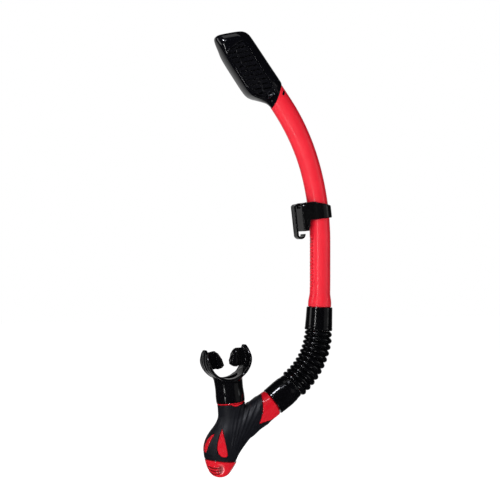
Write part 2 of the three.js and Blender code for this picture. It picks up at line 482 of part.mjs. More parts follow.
// ---------------------------------------------------------------- purge valve
{
  const at = h => purge.o.clone().addScaledVector(down, h);
  // seat: rim, hub and four spokes
  let seat = turned(at(-1.6), down, [[10.2, 0], [12.3, 0], [12.3, 2.0], [10.2, 2.0], [10.2, 0]], 24);
  seat = unite(seat, turned(at(-1.6), down, [[1.25, 0], [3.0, 0], [3.0, 2.0], [1.25, 2.0], [1.25, 0]], 16));
  const bar = (a, b) => { // bar across the seat with a hole for the stem
    const f = [purge.n.clone().multiplyScalar(a).add(v3(0, b, 0)), purge.n.clone().multiplyScalar(-b).add(v3(0, a, 0))];
    const q = (x, y, h) => at(h).addScaledVector(f[0], x).addScaledVector(f[1], y);
    const side = s => solid(loft([-1.6, 0.4].map(h => [q(s * 2.6, -0.9, h), q(s * 10.8, -0.9, h), q(s * 10.8, 0.9, h), q(s * 2.6, 0.9, h)])));
    return [side(1), side(-1)];
  };
  seat = unite(seat, ...bar(Math.SQRT1_2, Math.SQRT1_2), ...bar(-Math.SQRT1_2, Math.SQRT1_2));
  node('purge_seat', seat, DARK, 0.45);
  node('purge_valve', turned(at(0), down, [[0, -6.6], [1.2, -6.2], [1.9, -5.2], [1.9, -4.4], [0.9, -4.2], [0.9, 0.7], [4, 0.8], [11.3, 0.7], [11.3, 1.3], [4, 1.9], [0, 2.0]], 24), 0x9a9ca0, 0.4);
  const tor = [];
  for (let i = 0; i <= 8; i++) tor.push([15.0 + 0.35 * Math.cos(-i * Math.PI / 4), 1.1 + 0.35 * Math.sin(-i * Math.PI / 4)]);
  tor[8] = tor[0].slice();
  node('purge_seal', turned(at(0), down, tor, 20), SILICONE, 0.45);
  // cap: a faceted dome with curved outlets
  const CAP = [[0.3, 16.9], [4, 15.6], [8.3, 13.7], [12.6, 11.2], [15.6, 8.4], [17.6, 5.2], [18.6, 2.4]];
  const INN = [[0.2, 15.75], [3.4, 14.75], [4.3, 13.6], [8.3, 12.1], [12.4, 9.7], [15.2, 6.9], [16.8, 3.2], [17.1, 1.2]];
  const capRing = (h, r) => ring(at(h), purge.n, v3(0, 1, 0), r, r, 24);
  let cap = cut(solid(loft(CAP.map(([h, r]) => capRing(h, r)))), solid(loft(INN.map(([h, r]) => capRing(h, r)))));
  // curved outlets on two sides
  for (const az of [-48, -132]) {
    const a = rad(az), o = purge.n.clone().multiplyScalar(Math.sin(a)).add(v3(0, -Math.cos(a), 0)), s = new THREE.Vector3().crossVectors(down, o).normalize();
    const rows = [[7.6, 31], [10.6, 33], [13.5, 35]];
    for (const [h, half] of rows) {
      const r = table(CAP, h)[0], w = r * Math.sin(rad(half));
      const q = (x, y, z) => at(h + z).addScaledVector(o, x).addScaledVector(s, y);
      cap = cut(cap, solid(loft([r * 0.45, r + 4].map(x => [q(x, -w, 0.5), q(x, w, 0.5), q(x, w, -0.8), q(x, 0, -1.2), q(x, -w, -0.8), ]))));
    }
  }
  node('purge_cap', cap, RED, 0.16);
}

// ----------------------------------------------------------------- mouthpiece
{
  const turn = rad(MOUTH_TURN);
  const L = neck.n.clone().multiplyScalar(Math.cos(turn)).add(v3(0, Math.sin(turn), 0));
  const Hd = new THREE.Vector3().crossVectors(neck.t, L).normalize();   // across the lips
  const P = (l, h, m) => neck.at(0, 0, m).addScaledVector(L, l).addScaledVector(Hd, h);
  // U-shaped lip shield: mid line in (l, m) and its direction
  const RU = 22.9, M0 = 24.8, EXT = 11;
  const arcLen = RU * Math.PI / 2, full = arcLen + EXT;
  const mid = s => {
    const d = Math.abs(s) * full, sg = Math.sign(s) || 1;
    if (d < arcLen) { const a = d / RU; return { l: sg * RU * Math.sin(a), m: M0 + RU * (1 - Math.cos(a)), nl: -sg * Math.sin(a), nm: Math.cos(a) }; }
    return { l: sg * (RU - 0.10 * (d - arcLen)), m: M0 + RU + (d - arcLen), nl: -sg, nm: 0 };
  };
  const half = s => { const q = Math.abs(s); return table([[0, 13.4], [0.3, 13.8], [0.55, 15.2], [0.68, 15.4], [0.8, 13.6], [0.92, 9.0], [1, 3.4]], q)[0]; };
  const rings = [];
  const NS = 24;
  for (let i = 0; i <= NS; i++) {
    const s = lerp(-1, 1, i / NS), c = mid(s), h = half(s), r = [];
    for (const [v, e] of [[-1, 0.45], [-0.6, 1.1], [0, 1.25], [0.6, 1.1], [1, 0.45]]) r.push(P(c.l + c.nl * e, v * h, c.m + c.nm * e));
    for (const [v, e] of [[1, 0.45], [0.6, 1.1], [0, 1.25], [-0.6, 1.1], [-1, 0.45]]) r.push(P(c.l - c.nl * e, v * h, c.m - c.nm * e));
    rings.push(r);
  }
  let mouth = solid(loft(rings));
  const slab = (poly, h0, h1) => solid(loft([h0, h1].map(h => poly.map(([l, m]) => P(l, h, m)))));
  // neck, ending in the shield
  const inside = [];
  for (let i = 0; i <= 16; i++) { const c = mid(lerp(-0.9, 0.9, i / 16)); inside.push([c.l, c.m]); }
  inside.push([40, 90], [-40, 90]);
  const neckBody = turned(neck.o, neck.t, [[0, 1.3], [15.0, 1.3], [15.1, 8], [14.7, 17], [14.9, 22], [15.3, 33], [0, 33]], 28);
  mouth = unite(mouth, cut(neckBody, prismAlong(inside)));
  function prismAlong(poly) {
    const shape = new THREE.Shape(poly.map(p => new THREE.Vector2(p[0], p[1])));
    const g = new THREE.ExtrudeGeometry(shape, { depth: 80, bevelEnabled: false });
    g.applyMatrix4(new THREE.Matrix4().makeBasis(L, neck.t, new THREE.Vector3().crossVectors(L, neck.t)).setPosition(P(0, 0, 0).addScaledVector(new THREE.Vector3().crossVectors(L, neck.t), -40)));
    return solid(g);
  }
  // bite tabs with lugs at their inner ends
  for (const sg of [-1, 1]) {
    const f = poly => poly.map(([l, m]) => [sg * l, m]);
    mouth = unite(mouth, slab(f([[22.4, 37.5], [10.2, 37.4], [6.5, 38.4], [4.8, 41.0], [5.2, 44.2], [6.3, 47.2], [7.7, 50.3], [9.6, 53.6], [12, 56.4], [22.6, 55.4]]), -1.9, 1.9));
    mouth = unite(mouth, slab(f([[10.5, 37.2], [6.2, 38.0], [4.1, 40.3], [4.5, 44.0], [5.6, 47.2], [7.0, 50.3], [9.0, 53.6], [11.2, 55.4], [13.0, 55.0], [12.0, 40.0]]), -6.4, 6.4));
  }
  // air passage
  const oval = (m, a, b) => Array.from({ length: 24 }, (_, i) => { const t = i * Math.PI / 12; return P(a * Math.cos(t), b * Math.sin(t), m); });
  mouth = cut(mouth, solid(loft([oval(0, 12.15, 12.15), oval(16.2, 12.15, 12.15), oval(21, 10.6, 8.2), oval(34, 10.6, 7.2)])));
  node('mouthpiece', mouth, SILICONE, 0.3);
}

const group = new THREE.Group();
group.name = 'snorkel';
for (const m of nodes) group.add(m);
export default group;
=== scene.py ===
import math
import bpy
import numpy as np
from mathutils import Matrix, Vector


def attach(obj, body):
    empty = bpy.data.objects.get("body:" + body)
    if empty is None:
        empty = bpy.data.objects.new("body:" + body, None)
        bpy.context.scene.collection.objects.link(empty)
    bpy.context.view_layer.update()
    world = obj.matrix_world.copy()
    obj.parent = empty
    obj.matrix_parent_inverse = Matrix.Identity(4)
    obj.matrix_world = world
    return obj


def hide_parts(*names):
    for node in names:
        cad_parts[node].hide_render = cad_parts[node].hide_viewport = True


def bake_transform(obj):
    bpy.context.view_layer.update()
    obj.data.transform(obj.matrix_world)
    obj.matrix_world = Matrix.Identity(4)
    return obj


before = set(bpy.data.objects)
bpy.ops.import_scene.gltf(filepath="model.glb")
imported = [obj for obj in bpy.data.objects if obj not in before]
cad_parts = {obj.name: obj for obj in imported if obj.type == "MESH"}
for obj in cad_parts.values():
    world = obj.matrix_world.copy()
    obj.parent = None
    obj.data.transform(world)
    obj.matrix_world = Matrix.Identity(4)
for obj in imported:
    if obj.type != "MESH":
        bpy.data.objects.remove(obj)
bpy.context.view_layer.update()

MM = 0.001
pi = math.pi

# ------------------------------------------------------------------ dimensions, mm, as in the CAD frame
TUBE_A, TUBE_B, WALL = 10.9, 11.8, 1.8
AXIS_X, REF_Z = 24.6, -40.0
TOP_R1, TOP_L1, TOP_R2, TOP_LEAN = 290.0, 75.0, 225.0, 35.0
HOSE_R = 82.8
TOP_L2 = TOP_R2 * (math.radians(TOP_LEAN) - TOP_L1 / TOP_R1)
TOPS = 15 + TOP_L1 + TOP_L2
CUFF_TOP, CUFF_END, BELLOWS_END, LOWER_CUFF_END = 52.4, 78.4, 144.3, 172.3
RIBS, RIB_R, RIB_GROW, GROOVE, BORE = 11, 15.0, 1.2, 3.0, 9.6


class Fr:
    """Frame in the XZ plane: n across, t along."""

    def __init__(self, x, z, lean):
        a = math.radians(lean)
        self.o = np.array([x, 0.0, z])
        self.n = np.array([math.cos(a), 0.0, math.sin(a)])
        self.t = np.array([-math.sin(a), 0.0, math.cos(a)])

    def world(self, p):
        p = np.asarray(p, float)
        return self.o + p[..., :1] * self.n + p[..., 2:3] * self.t + p[..., 1:2] * np.array([0.0, 1.0, 0.0])


def axis_at(s):
    x, z, a, left = AXIS_X, REF_Z, 0.0, abs(s)
    up = s >= 0
    parts = ([(15, 0), (TOP_L1, 1 / TOP_R1), (TOP_L2, 1 / TOP_R2), (1e3, 0)] if up
             else [(20, 0), (58.1, 1 / 885), (65.9, 1 / HOSE_R), (43, 1 / 375), (1e3, 0)])
    sg = 1 if up else -1
    for ln, k in parts:
        d = min(left, ln)
        if k == 0:
            x -= d * math.sin(a); z += sg * d * math.cos(a)
        else:
            b = a + d * k
            x -= (math.cos(a) - math.cos(b)) / k
            z += sg * (math.sin(b) - math.sin(a)) / k
            a = b
        left -= d
        if left <= 0:
            break
    return x, z, math.degrees(sg * a)


_S = np.arange(-245, 215.01, 0.5)
_A = np.array([axis_at(s) for s in _S])


def axis(s):
    """Point, n and t of the centreline at distances s (array)."""
    s = np.asarray(s, float)
    x, z, a = (np.interp(s, _S, _A[:, i]) for i in range(3))
    a = np.radians(a)
    o = np.stack([x, 0 * x, z], -1)
    n = np.stack([np.cos(a), 0 * a, np.sin(a)], -1)
    t = np.stack([-np.sin(a), 0 * a, np.cos(a)], -1)
    return o, n, t


def table(rows, x):
    if x <= rows[0][0]:
        return list(rows[0][1:])
    if x >= rows[-1][0]:
        return list(rows[-1][1:])
    i = next(k for k, r in enumerate(rows) if r[0] > x) - 1
    a, b, c, d = rows[max(0, i - 1)], rows[i], rows[i + 1], rows[min(len(rows) - 1, i + 2)]
    h = c[0] - b[0]; t = (x - b[0]) / h
    out = []
    for j in range(1, len(b)):
        m0 = (c[j] - a[j]) / (c[0] - a[0]); m1 = (d[j] - b[j]) / (d[0] - b[0])
        out.append((2 * t**3 - 3 * t**2 + 1) * b[j] + (t**3 - 2 * t**2 + t) * h * m0
                   + (-2 * t**3 + 3 * t**2) * c[j] + (t**3 - t**2) * h * m1)
    return out


class Table:
    """A smooth table sampled finely, for arrays."""

    def __init__(self, rows, step=0.2):
        self.x = np.arange(rows[0][0], rows[-1][0] + step, step)
        self.y = np.array([table(rows, v) for v in self.x])

    def __call__(self, x, k=0):
        return np.interp(x, self.x, self.y[:, k])


def sstep(x, a, b):
    t = np.clip((x - a) / (b - a), 0, 1)
    return t * t * (3 - 2 * t)


def smin(a, b, k):
    h = np.clip(0.5 + 0.5 * (b - a) / k, 0, 1)
    return b * (1 - h) + a * h - k * h * (1 - h)


def smax(a, b, k):
    return -smin(-a, -b, k)


def poly_sd(x, z, poly):
    d = np.full(np.shape(x), 1e9); s = np.ones(np.shape(x))
    for i in range(len(poly)):
        ax, az = poly[i]; bx, bz = poly[i - 1]
        ex, ez = bx - ax, bz - az
        wx, wz = x - ax, z - az
        q = np.clip((wx * ex + wz * ez) / (ex * ex + ez * ez), 0, 1)
        d = np.minimum(d, (wx - ex * q) ** 2 + (wz - ez * q) ** 2)
        c1, c2, c3 = z >= az, z < bz, ex * wz > ez * wx
        s = np.where((c1 & c2 & c3) | (~c1 & ~c2 & ~c3), -s, s)
    return s * np.sqrt(d)


def inset(poly, d):
    cx = sum(p[0] for p in poly) / len(poly); cz = sum(p[1] for p in poly) / len(poly)
    out = []
    for i, p in enumerate(poly):
        a, b = poly[i - 1], poly[(i + 1) % len(poly)]
        n1 = (-(p[1] - a[1]), p[0] - a[0]); n2 = (-(b[1] - p[1]), b[0] - p[0])
        l1, l2 = math.hypot(*n1), math.hypot(*n2)
        m = (n1[0] / l1 + n2[0] / l2, n1[1] / l1 + n2[1] / l2)
        s = 2 / (m[0] ** 2 + m[1] ** 2) * d
        sg = 1 if m[0] * (cx - p[0]) + m[1] * (cz - p[1]) > 0 else -1
        out.append([p[0] + sg * s * m[0], p[1] + sg * s * m[1]])
    return out


# ------------------------------------------------------------------ mesh builders
def grad(f, P, e=0.04):
    g = np.empty_like(P)
    for i in range(3):
        a, b = P.copy(), P.copy()
        a[:, i] += e; b[:, i] -= e
        g[:, i] = (f(*a.T) - f(*b.T)) / (2 * e)
    return g


def project(f, P, h, times=3):
    for _ in range(times):
        g = grad(f, P)
        step = (f(*P.T) / np.maximum((g * g).sum(1), 0.05))[:, None] * g
        ln = np.linalg.norm(step, axis=1)[:, None]
        P = P - step * np.minimum(1, 0.5 * h / np.maximum(ln, 1e-9))
    return P


def nets(f, lo, hi, h, relax=2):
    """Quad mesh of the surface f = 0 (f < 0 inside), its points moved onto the surface."""
    lo = np.array(lo, float)
    n = np.ceil((np.array(hi) - lo) / h).astype(int) + 1
    ax = [lo[i] + h * np.arange(n[i]) for i in range(3)]
    V = np.empty(n, np.float32)
    for i in range(0, n[0], 12):
        V[i:i + 12] = f(*np.meshgrid(ax[0][i:i + 12], ax[1], ax[2], indexing="ij"))
    S = V < 0
    off = np.array([(i, j, k) for i in (0, 1) for j in (0, 1) for k in (0, 1)])
    cnt = sum(S[i:n[0] - 1 + i, j:n[1] - 1 + j, k:n[2] - 1 + k].astype(np.int8) for i, j, k in off)
    mask = (cnt > 0) & (cnt < 8)
    cells = np.argwhere(mask)
    idx = np.full(mask.shape, -1, int); idx[mask] = np.arange(len(cells))
    vals = np.stack([V[tuple((cells + o).T)] for o in off], 1).astype(float)
    P, W = np.zeros((len(cells), 3)), np.zeros(len(cells))
    for a in range(8):
        for b in range(a + 1, 8):
            if np.abs(off[a] - off[b]).sum() != 1:
                continue
            va, vb = vals[:, a], vals[:, b]
            c = (va < 0) != (vb < 0)
            t = np.where(c, va / np.where(c, va - vb, 1), 0)
            P += c[:, None] * (off[a] + (off[b] - off[a]) * t[:, None]); W += c
    P = lo + (cells + P / W[:, None]) * h
    faces = []
    for axn in range(3):
        u, v = (axn + 1) % 3, (axn + 2) % 3
        sl0 = [slice(None)] * 3; sl1 = [slice(None)] * 3
        sl0[axn] = slice(0, n[axn] - 1); sl1[axn] = slice(1, n[axn])
        A, B = S[tuple(sl0)], S[tuple(sl1)]
        pts = np.argwhere(A != B)
        ok = (pts[:, u] >= 1) & (pts[:, v] >= 1) & (pts[:, u] < n[u] - 1) & (pts[:, v] < n[v] - 1)
        pts = pts[ok]
        ins = A[tuple(pts.T)]
        du = np.zeros(3, int); du[u] = 1
        dv = np.zeros(3, int); dv[v] = 1
        q = np.stack([idx[tuple((pts - du - dv).T)], idx[tuple((pts - dv).T)], idx[tuple(pts.T)], idx[tuple((pts - du).T)]], 1)
        faces.append(np.where(ins[:, None], q, q[:, ::-1]))
    F = np.concatenate(faces)
    P = project(f, P, h)
    e = np.concatenate([F[:, [0, 1]], F[:, [1, 2]], F[:, [2, 3]], F[:, [3, 0]]])
    deg = np.bincount(e[:, 0], minlength=len(P)).astype(float)
    for _ in range(relax):
        avg = np.stack([np.bincount(e[:, 0], P[e[:, 1], i], len(P)) for i in range(3)], 1) / np.maximum(deg, 1)[:, None]
        P = project(f, P + 0.5 * (avg - P), h, 2)
    return P, F


def grid(P, wrap_rows=False, cap=False):
    """Faces of a grid of points (rows, columns, 3) that closes round its columns."""
    r, c = P.shape[:2]
    i = np.arange(r if wrap_rows else r - 1)[:, None]; j = np.arange(c)[None]
    i2, j2 = (i + 1) % r, (j + 1) % c
    F = np.stack(np.broadcast_arrays(i * c + j, i * c + j2, i2 * c + j2, i2 * c + j), -1).reshape(-1, 4)
    V = P.reshape(-1, 3)
    F = [list(map(int, f)) for f in F]
    if cap:
        V = np.concatenate([V, P[0].mean(0)[None], P[-1].mean(0)[None]])
        a, b = r * c, r * c + 1
        F += [[a, (k + 1) % c, k] for k in range(c)] + [[b, (r - 1) * c + k, (r - 1) * c + (k + 1) % c] for k in range(c)]
    return V, F


def signed_volume(V, F):
    s = 0.0
    for n in (3, 4):
        G = np.array([f for f in F if len(f) == n])
        if not len(G):
            continue
        for k in range(1, n - 1):
            s += np.einsum("ij,ij->i", V[G[:, 0]], np.cross(V[G[:, k]], V[G[:, k + 1]])).sum() / 6
    return s


def make(name, V, F, mat, body=None, replaces=(), sharp=None):
    V = np.asarray(V, float) * MM
    if not isinstance(F, list):
        F = F.tolist()
    if signed_volume(V, F) < 0:
        F = [f[::-1] for f in F]
    me = bpy.data.meshes.new(name)
    me.from_pydata(V.tolist(), [], F)
    me.validate(); me.update()
    me.shade_smooth()
    if sharp:
        me.set_sharp_from_angle(angle=math.radians(sharp))
    ob = bpy.data.objects.new(name, me)
    bpy.context.scene.collection.objects.link(ob)
    me.materials.append(mat)
    if body:
        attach(ob, body)
    if replaces:
        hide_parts(*replaces)
    return ob


def ring(s, a, b, count):
    """Oval rings on the centreline: s, a, b are arrays of one length, or (rows, columns)."""
    th = (np.arange(count) + 0.5) * 2 * pi / count
    s = np.asarray(s, float)
    if s.ndim == 1:
        s = np.repeat(s[:, None], count, 1)
    a = np.asarray(a, float); b = np.asarray(b, float)
    a = a[:, None] if a.ndim == 1 else a
    b = b[:, None] if b.ndim == 1 else b
    o, n, t = axis(s)
    ca, sb = (a * np.cos(th)), (b * np.sin(th))
    ca, sb = np.broadcast_to(ca, s.shape), np.broadcast_to(sb, s.shape)
    return o + ca[..., None] * n + np.stack([0 * sb, sb, 0 * sb], -1)


def pipe_mesh(outer, inner):
    return grid(np.concatenate([outer, inner[::-1]]), wrap_rows=True)


# ------------------------------------------------------------------ materials
def node_material(name):
    m = bpy.data.materials.new(name)
    m.use_nodes = True
    nt = m.node_tree
    bsdf = nt.nodes["Principled BSDF"]
    return m, nt, bsdf


def noise(nt, scale, detail=4.0, rough=0.5, stretch=None):
    co = nt.nodes.new("ShaderNodeTexCoord")
    tex = nt.nodes.new("ShaderNodeTexNoise")
    tex.inputs["Scale"].default_value = scale
    tex.inputs["Detail"].default_value = detail
    tex.inputs["Roughness"].default_value = rough
    if stretch:
        mp = nt.nodes.new("ShaderNodeMapping")
        mp.inputs["Scale"].default_value = stretch
        nt.links.new(co.outputs["Object"], mp.inputs["Vector"])
        nt.links.new(mp.outputs["Vector"], tex.inputs["Vector"])
    else:
        nt.links.new(co.outputs["Object"], tex.inputs["Vector"])
    return tex


def ramp(nt, src, lo, hi, a=0.35, b=0.65):
    r = nt.nodes.new("ShaderNodeMapRange")
    r.inputs["From Min"].default_value, r.inputs["From Max"].default_value = a, b
    r.inputs["To Min"].default_value, r.inputs["To Max"].default_value = lo, hi
    nt.links.new(src, r.inputs["Value"])
    return r.outputs["Result"]


def mixcol(nt, fac, c1, c2):
    m = nt.nodes.new("ShaderNodeMix")
    m.data_type = "RGBA"
    nt.links.new(fac, m.inputs["Factor"])
    for sock, c in ((m.inputs[6], c1), (m.inputs[7], c2)):
        if isinstance(c, tuple):
            sock.default_value = (*c, 1)
        else:
            nt.links.new(c, sock)
    return m.outputs[2]


def plastic(name, col, col2, rough, rough_var, bump_scale, bump, coat=0.0, coat_rough=0.08, ior=1.46, grain=None, edge=None, sheen=0.0, fine=None):
    m, nt, bs = node_material(name)
    big = noise(nt, 38.0, 3.0)
    c = mixcol(nt, ramp(nt, big.outputs["Fac"], 0, 1), col, col2)
    if edge:
        # worn, slightly paler edges
        geo = nt.nodes.new("ShaderNodeNewGeometry")
        pe = ramp(nt, geo.outputs["Pointiness"], 0, 1, 0.515, 0.60)
        c = mixcol(nt, pe, c, edge)
    nt.links.new(c, bs.inputs["Base Color"])
    wear = noise(nt, 520.0, 6.0, 0.6, stretch=(1, 1, 0.35))
    spots = noise(nt, 95.0, 4.0)
    add = nt.nodes.new("ShaderNodeMath"); add.operation = "ADD"
    nt.links.new(ramp(nt, wear.outputs["Fac"], -rough_var * 0.5, rough_var * 0.5), add.inputs[0])
    nt.links.new(ramp(nt, spots.outputs["Fac"], rough - rough_var * 0.5, rough + rough_var * 0.5), add.inputs[1])
    nt.links.new(add.outputs[0], bs.inputs["Roughness"])
    b1 = nt.nodes.new("ShaderNodeBump")
    b1.inputs["Strength"].default_value = 1.0
    b1.inputs["Distance"].default_value = bump
    tex = noise(nt, bump_scale, 2.0)
    nt.links.new(tex.outputs["Fac"], b1.inputs["Height"])
    last = b1
    if grain:
        gs, gd = grain
        b2 = nt.nodes.new("ShaderNodeBump")
        b2.inputs["Strength"].default_value = 1.0
        b2.inputs["Distance"].default_value = gd
        vor = nt.nodes.new("ShaderNodeTexVoronoi")
        vor.inputs["Scale"].default_value = gs
        co = nt.nodes.new("ShaderNodeTexCoord")
        nt.links.new(co.outputs["Object"], vor.inputs["Vector"])
        nt.links.new(vor.outputs["Distance"], b2.inputs["Height"])
        nt.links.new(b1.outputs["Normal"], b2.inputs["Normal"])
        last = b2
    nt.links.new(last.outputs["Normal"], bs.inputs["Normal"])
    bs.inputs["IOR"].default_value = ior
    bs.inputs["Coat Weight"].default_value = coat
    bs.inputs["Coat Roughness"].default_value = coat_rough
    if sheen:
        bs.inputs["Sheen Weight"].default_value = sheen
        bs.inputs["Sheen Roughness"].default_value = 0.5
    return m


M_RED = plastic("red_tube_plastic", (0.71, 0.013, 0.028), (0.66, 0.010, 0.024), 0.33, 0.05, 240.0, 0.000012, coat=0.2, coat_rough=0.16)
M_REDG = plastic("red_gloss_plastic", (0.54, 0.0075, 0.017), (0.49, 0.006, 0.014), 0.15, 0.03, 160.0, 0.000012, coat=0.4, coat_rough=0.05)
# darker red for the purge outlets' groove floors: painted shade, with a rougher finish
M_RED_PAINTED_SHADE = plastic("red_matt_painted_shade", (0.26, 0.003, 0.008), (0.22, 0.0025, 0.006), 0.4, 0.05, 300.0, 0.00002)
M_HOOD = plastic("hood_gloss_black", (0.0014, 0.0014, 0.0022), (0.002, 0.002, 0.003), 0.12, 0.02, 130.0, 0.000006, coat=0.35, coat_rough=0.05, ior=1.5)
# a little paler than the hood's black: painted sheen that brings out the slats
M_LOUVRE = plastic("louvre_black", (0.0026, 0.0026, 0.0036), (0.0036, 0.0036, 0.0048), 0.14, 0.06, 300.0, 0.00002, ior=1.5)
M_KEEPER = plastic("keeper_satin_black", (0.0016, 0.0016, 0.0019), (0.0026, 0.0026, 0.0029), 0.21, 0.05, 420.0, 0.000012, grain=(2600.0, 0.000006), edge=(0.006, 0.006, 0.0065))
M_SIL = plastic("silicone_black", (0.0014, 0.0014, 0.0018), (0.002, 0.002, 0.0025), 0.13, 0.02, 260.0, 0.000004, ior=1.43)
M_SILM = plastic("silicone_mouthpiece", (0.0014, 0.0014, 0.0018), (0.002, 0.002, 0.0025), 0.15, 0.02, 220.0, 0.000005, ior=1.43)
M_GRIP = plastic("grip_soft_rubber", (0.0030, 0.0034, 0.0056), (0.0044, 0.0049, 0.0076), 0.48, 0.08, 500.0, 0.00003, grain=(3400.0, 0.00002), ior=1.42)
M_DARK = plastic("inner_dark_plastic", (0.010, 0.010, 0.011), (0.016, 0.016, 0.018), 0.45, 0.08, 300.0, 0.00003)
M_FLOAT = plastic("float_foam", (0.045, 0.046, 0.05), (0.06, 0.061, 0.066), 0.7, 0.1, 900.0, 0.00006, grain=(1800.0, 0.00005))
M_VALVE = plastic("valve_silicone", (0.14, 0.14, 0.145), (0.18, 0.18, 0.185), 0.35, 0.08, 300.0, 0.00002, ior=1.43)
M_STEEL, _nt, _bs = node_material("pin_steel")
_w = noise(_nt, 900.0, 5.0, 0.6, stretch=(6, 0.3, 6))
_nt.links.new(mixcol(_nt, ramp(_nt, _w.outputs["Fac"], 0, 1), (0.50, 0.50, 0.52), (0.62, 0.62, 0.64)), _bs.inputs["Base Color"])
_nt.links.new(ramp(_nt, _w.outputs["Fac"], 0.22, 0.38), _bs.inputs["Roughness"])
_bs.inputs["Metallic"].default_value = 1.0

# ------------------------------------------------------------------ hood
H = Fr(0, 0, TOP_LEAN)
_o, _n, _t = axis(TOPS)
TC, TT = float(_o @ H.n), float(_o @ H.t)


def joint_line(n):
    return 112 + (n - 42.7) * 16.5 / 24.6


HOOD = Table([
    [98, 43.0, 66.0, 12.2], [112, 43.1, 66.1, 12.2], [116, 42.5, 66.2, 12.3], [119.5, 41.0, 66.4, 12.5], [124, 37.5, 66.7, 12.8],
    [128, 34.3, 66.9, 13.1], [132, 31.4, 67.0, 13.4], [137, 29.2, 67.0, 13.7], [144, 28.4, 66.9, 13.9], [160, 28.5, 66.8, 14.0],
    [176, 28.8, 66.7, 14.0], [186, 29.5, 66.5, 14.0], [193, 30.6, 65.9, 13.9], [215, 33.4, 64.4, 13.8]])
WINDOW = [[30.9, 140], [32.6, 134.5], [36.1, 129.3], [40.0, 124.9], [43.6, 123.4], [51.2, 123.7], [54.3, 126.5], [54.4, 186], [52.3, 188.6], [35.5, 188.3], [32.2, 185.5], [30.9, 182]]
WIN2 = inset(WINDOW, 1.6)


def hood_outer(n, y, t):
    l, r, b = HOOD(t, 0), HOOD(t, 1), HOOD(t, 2)
    c, a = (l + r) / 2, (r - l) / 2
    f0 = (np.hypot((n - c) / a, y / b) - 1) * np.minimum(a, b)
    flank = np.abs(y) - (b - 0.35)
    W, Hh = 22.0, 15.3 * b / 14
    u, v = np.maximum(n - (r - W), 0) / W, y / Hh
    k1 = np.sqrt(u * u + v * v)
    back = k1 * (k1 - 1) / (np.sqrt((u / W) ** 2 + (v / Hh) ** 2) + 1e-6)
    front = (l + 0.6 * (y / 13) ** 2) - n
    fs = smax(smax(flank, back, 0.35), front, 3.4 + 5.0 * sstep(t, 182, 202))
    k = sstep(t, 111, 136)
    side = f0 * (1 - k) + fs * k
    top = (t - (207.2 - (n - 36) * 0.42)) * 0.922
    return smax(side, top, 7.0 + 6.0 * sstep(np.abs(y), 3, 11))


def window_sd(n, t, extra=0.0):
    return poly_sd(n, t, WIN2) - 1.6 + extra


def window_cut(n, t):
    # the opening itself stops short of the window's lower edge, which is a ramp
    return window_sd(n, t) + 3.0 * (1 - sstep(t, 124.5, 131))


def hood_shell(n, y, t):
    o = hood_outer(n, y, t)
    f = smax(o, (joint_line(n) + 0.36 - t) * 0.83, 0.6)
    f = smax(f, -smax(o + 1.9, 127 - t, 1.5), 0.3)
    f = np.maximum(f, -np.maximum(np.hypot(n - TC, y) - 8.2, t - 135))
    w = window_sd(n, t)
    wc = window_cut(n, t)
    f = smax(f, -np.maximum(np.maximum(w, t - 131.5), -(o + 0.66 * np.maximum(-w, 0))), 0.5)
    f = smax(f, -np.maximum(wc, -(o + 2.3)), 0.6)
    return np.maximum(f, -np.maximum(wc + 1.3, 5 - np.abs(y)))


V, F = nets(hood_shell, [25.5, -15, 104], [69, 15, 209], 0.44)
make("hood_shell", H.world(V), F, M_HOOD, "tube", ["dry_top_hood"])


def flank_y(n, t):
    lo, hi = np.zeros_like(n), np.full_like(n, 16.0)
    for _ in range(30):
        m = (lo + hi) / 2
        inside = hood_outer(n, m, t) < 0
        lo, hi = np.where(inside, m, lo), np.where(inside, hi, m)
    return (lo + hi) / 2


def bead_loop(name, path, radius, mat, body, sink=0.15, seg=14):
    """A raised bead along a closed line (n, t) on both flanks of the hood."""
    P = np.array(path, float)
    for _ in range(4):
        Q = np.roll(P, -1, 0)
        P = np.stack([0.75 * P + 0.25 * Q, 0.25 * P + 0.75 * Q], 1).reshape(-1, 2)
    obs = []
    for sg, tag in ((-1, "near"), (1, "far")):
        y = sg * (flank_y(P[:, 0], P[:, 1]) - sink)
        C = np.stack([P[:, 0], y, P[:, 1]], 1)
        T = np.roll(C, -1, 0) - np.roll(C, 1, 0); T /= np.linalg.norm(T, axis=1)[:, None]
        Yv = np.array([0, 1.0, 0]); S = np.cross(T, Yv); S /= np.linalg.norm(S, axis=1)[:, None]
        N = np.cross(S, T)
        th = np.arange(seg) * 2 * pi / seg
        R = C[:, None] + radius * (np.cos(th)[None, :, None] * S[:, None] + np.sin(th)[None, :, None] * N[:, None])
        Vv, Ff = grid(R, wrap_rows=True)
        obs.append(make(f"{name}_{tag}", H.world(Vv), Ff, mat, body))
    return obs


bead_loop("hood_window_rim", inset(WINDOW, -0.35), 0.5, M_HOOD, "tube")


def louvre(sign):
    w2 = inset(WINDOW, 1.9)

    def f(n, y, t):
        Y = y * sign
        w = poly_sd(n, t, w2) - 1.6
        mid = 41.6 + 2.6 * np.sin((t - 131) / 52 * 2 * pi)
        right = n > mid
        dep = -hood_outer(n, y, t)
        ph = (t - 136 + (n - 41.8) * 0.36 - np.where(right, 0, 1.9) + 1.9 * dep) / 5.6
        fr = ph - np.floor(ph)
        slab = smax(0.75 + 0.7 * (1 - fr) - dep, dep - 2.2, 0.25)
        lo = np.interp(t, [128, 132, 140, 188], [39.0, 37.0, 33.6, 33.0])
        cut = np.maximum(np.abs(fr - 0.3) * 5.6 - 1.3, np.where(right, np.maximum(mid + 0.9 - n, n - 51.6), np.maximum(lo - n, n - mid + 0.9)))
        cut = np.maximum(cut, np.maximum(128.5 - t, t - 185.5))
        f = smax(slab, -cut, 0.35)
        # a rib along the staggered middle
        rib = np.hypot(n - mid, dep - 1.0) - 0.5
        f = smin(f, np.maximum(rib, np.maximum(130 - t, t - 185)), 0.4)
        return smax(smax(f, w, 0.3), window_cut(n, t) + 0.3, 0.3)
    return f


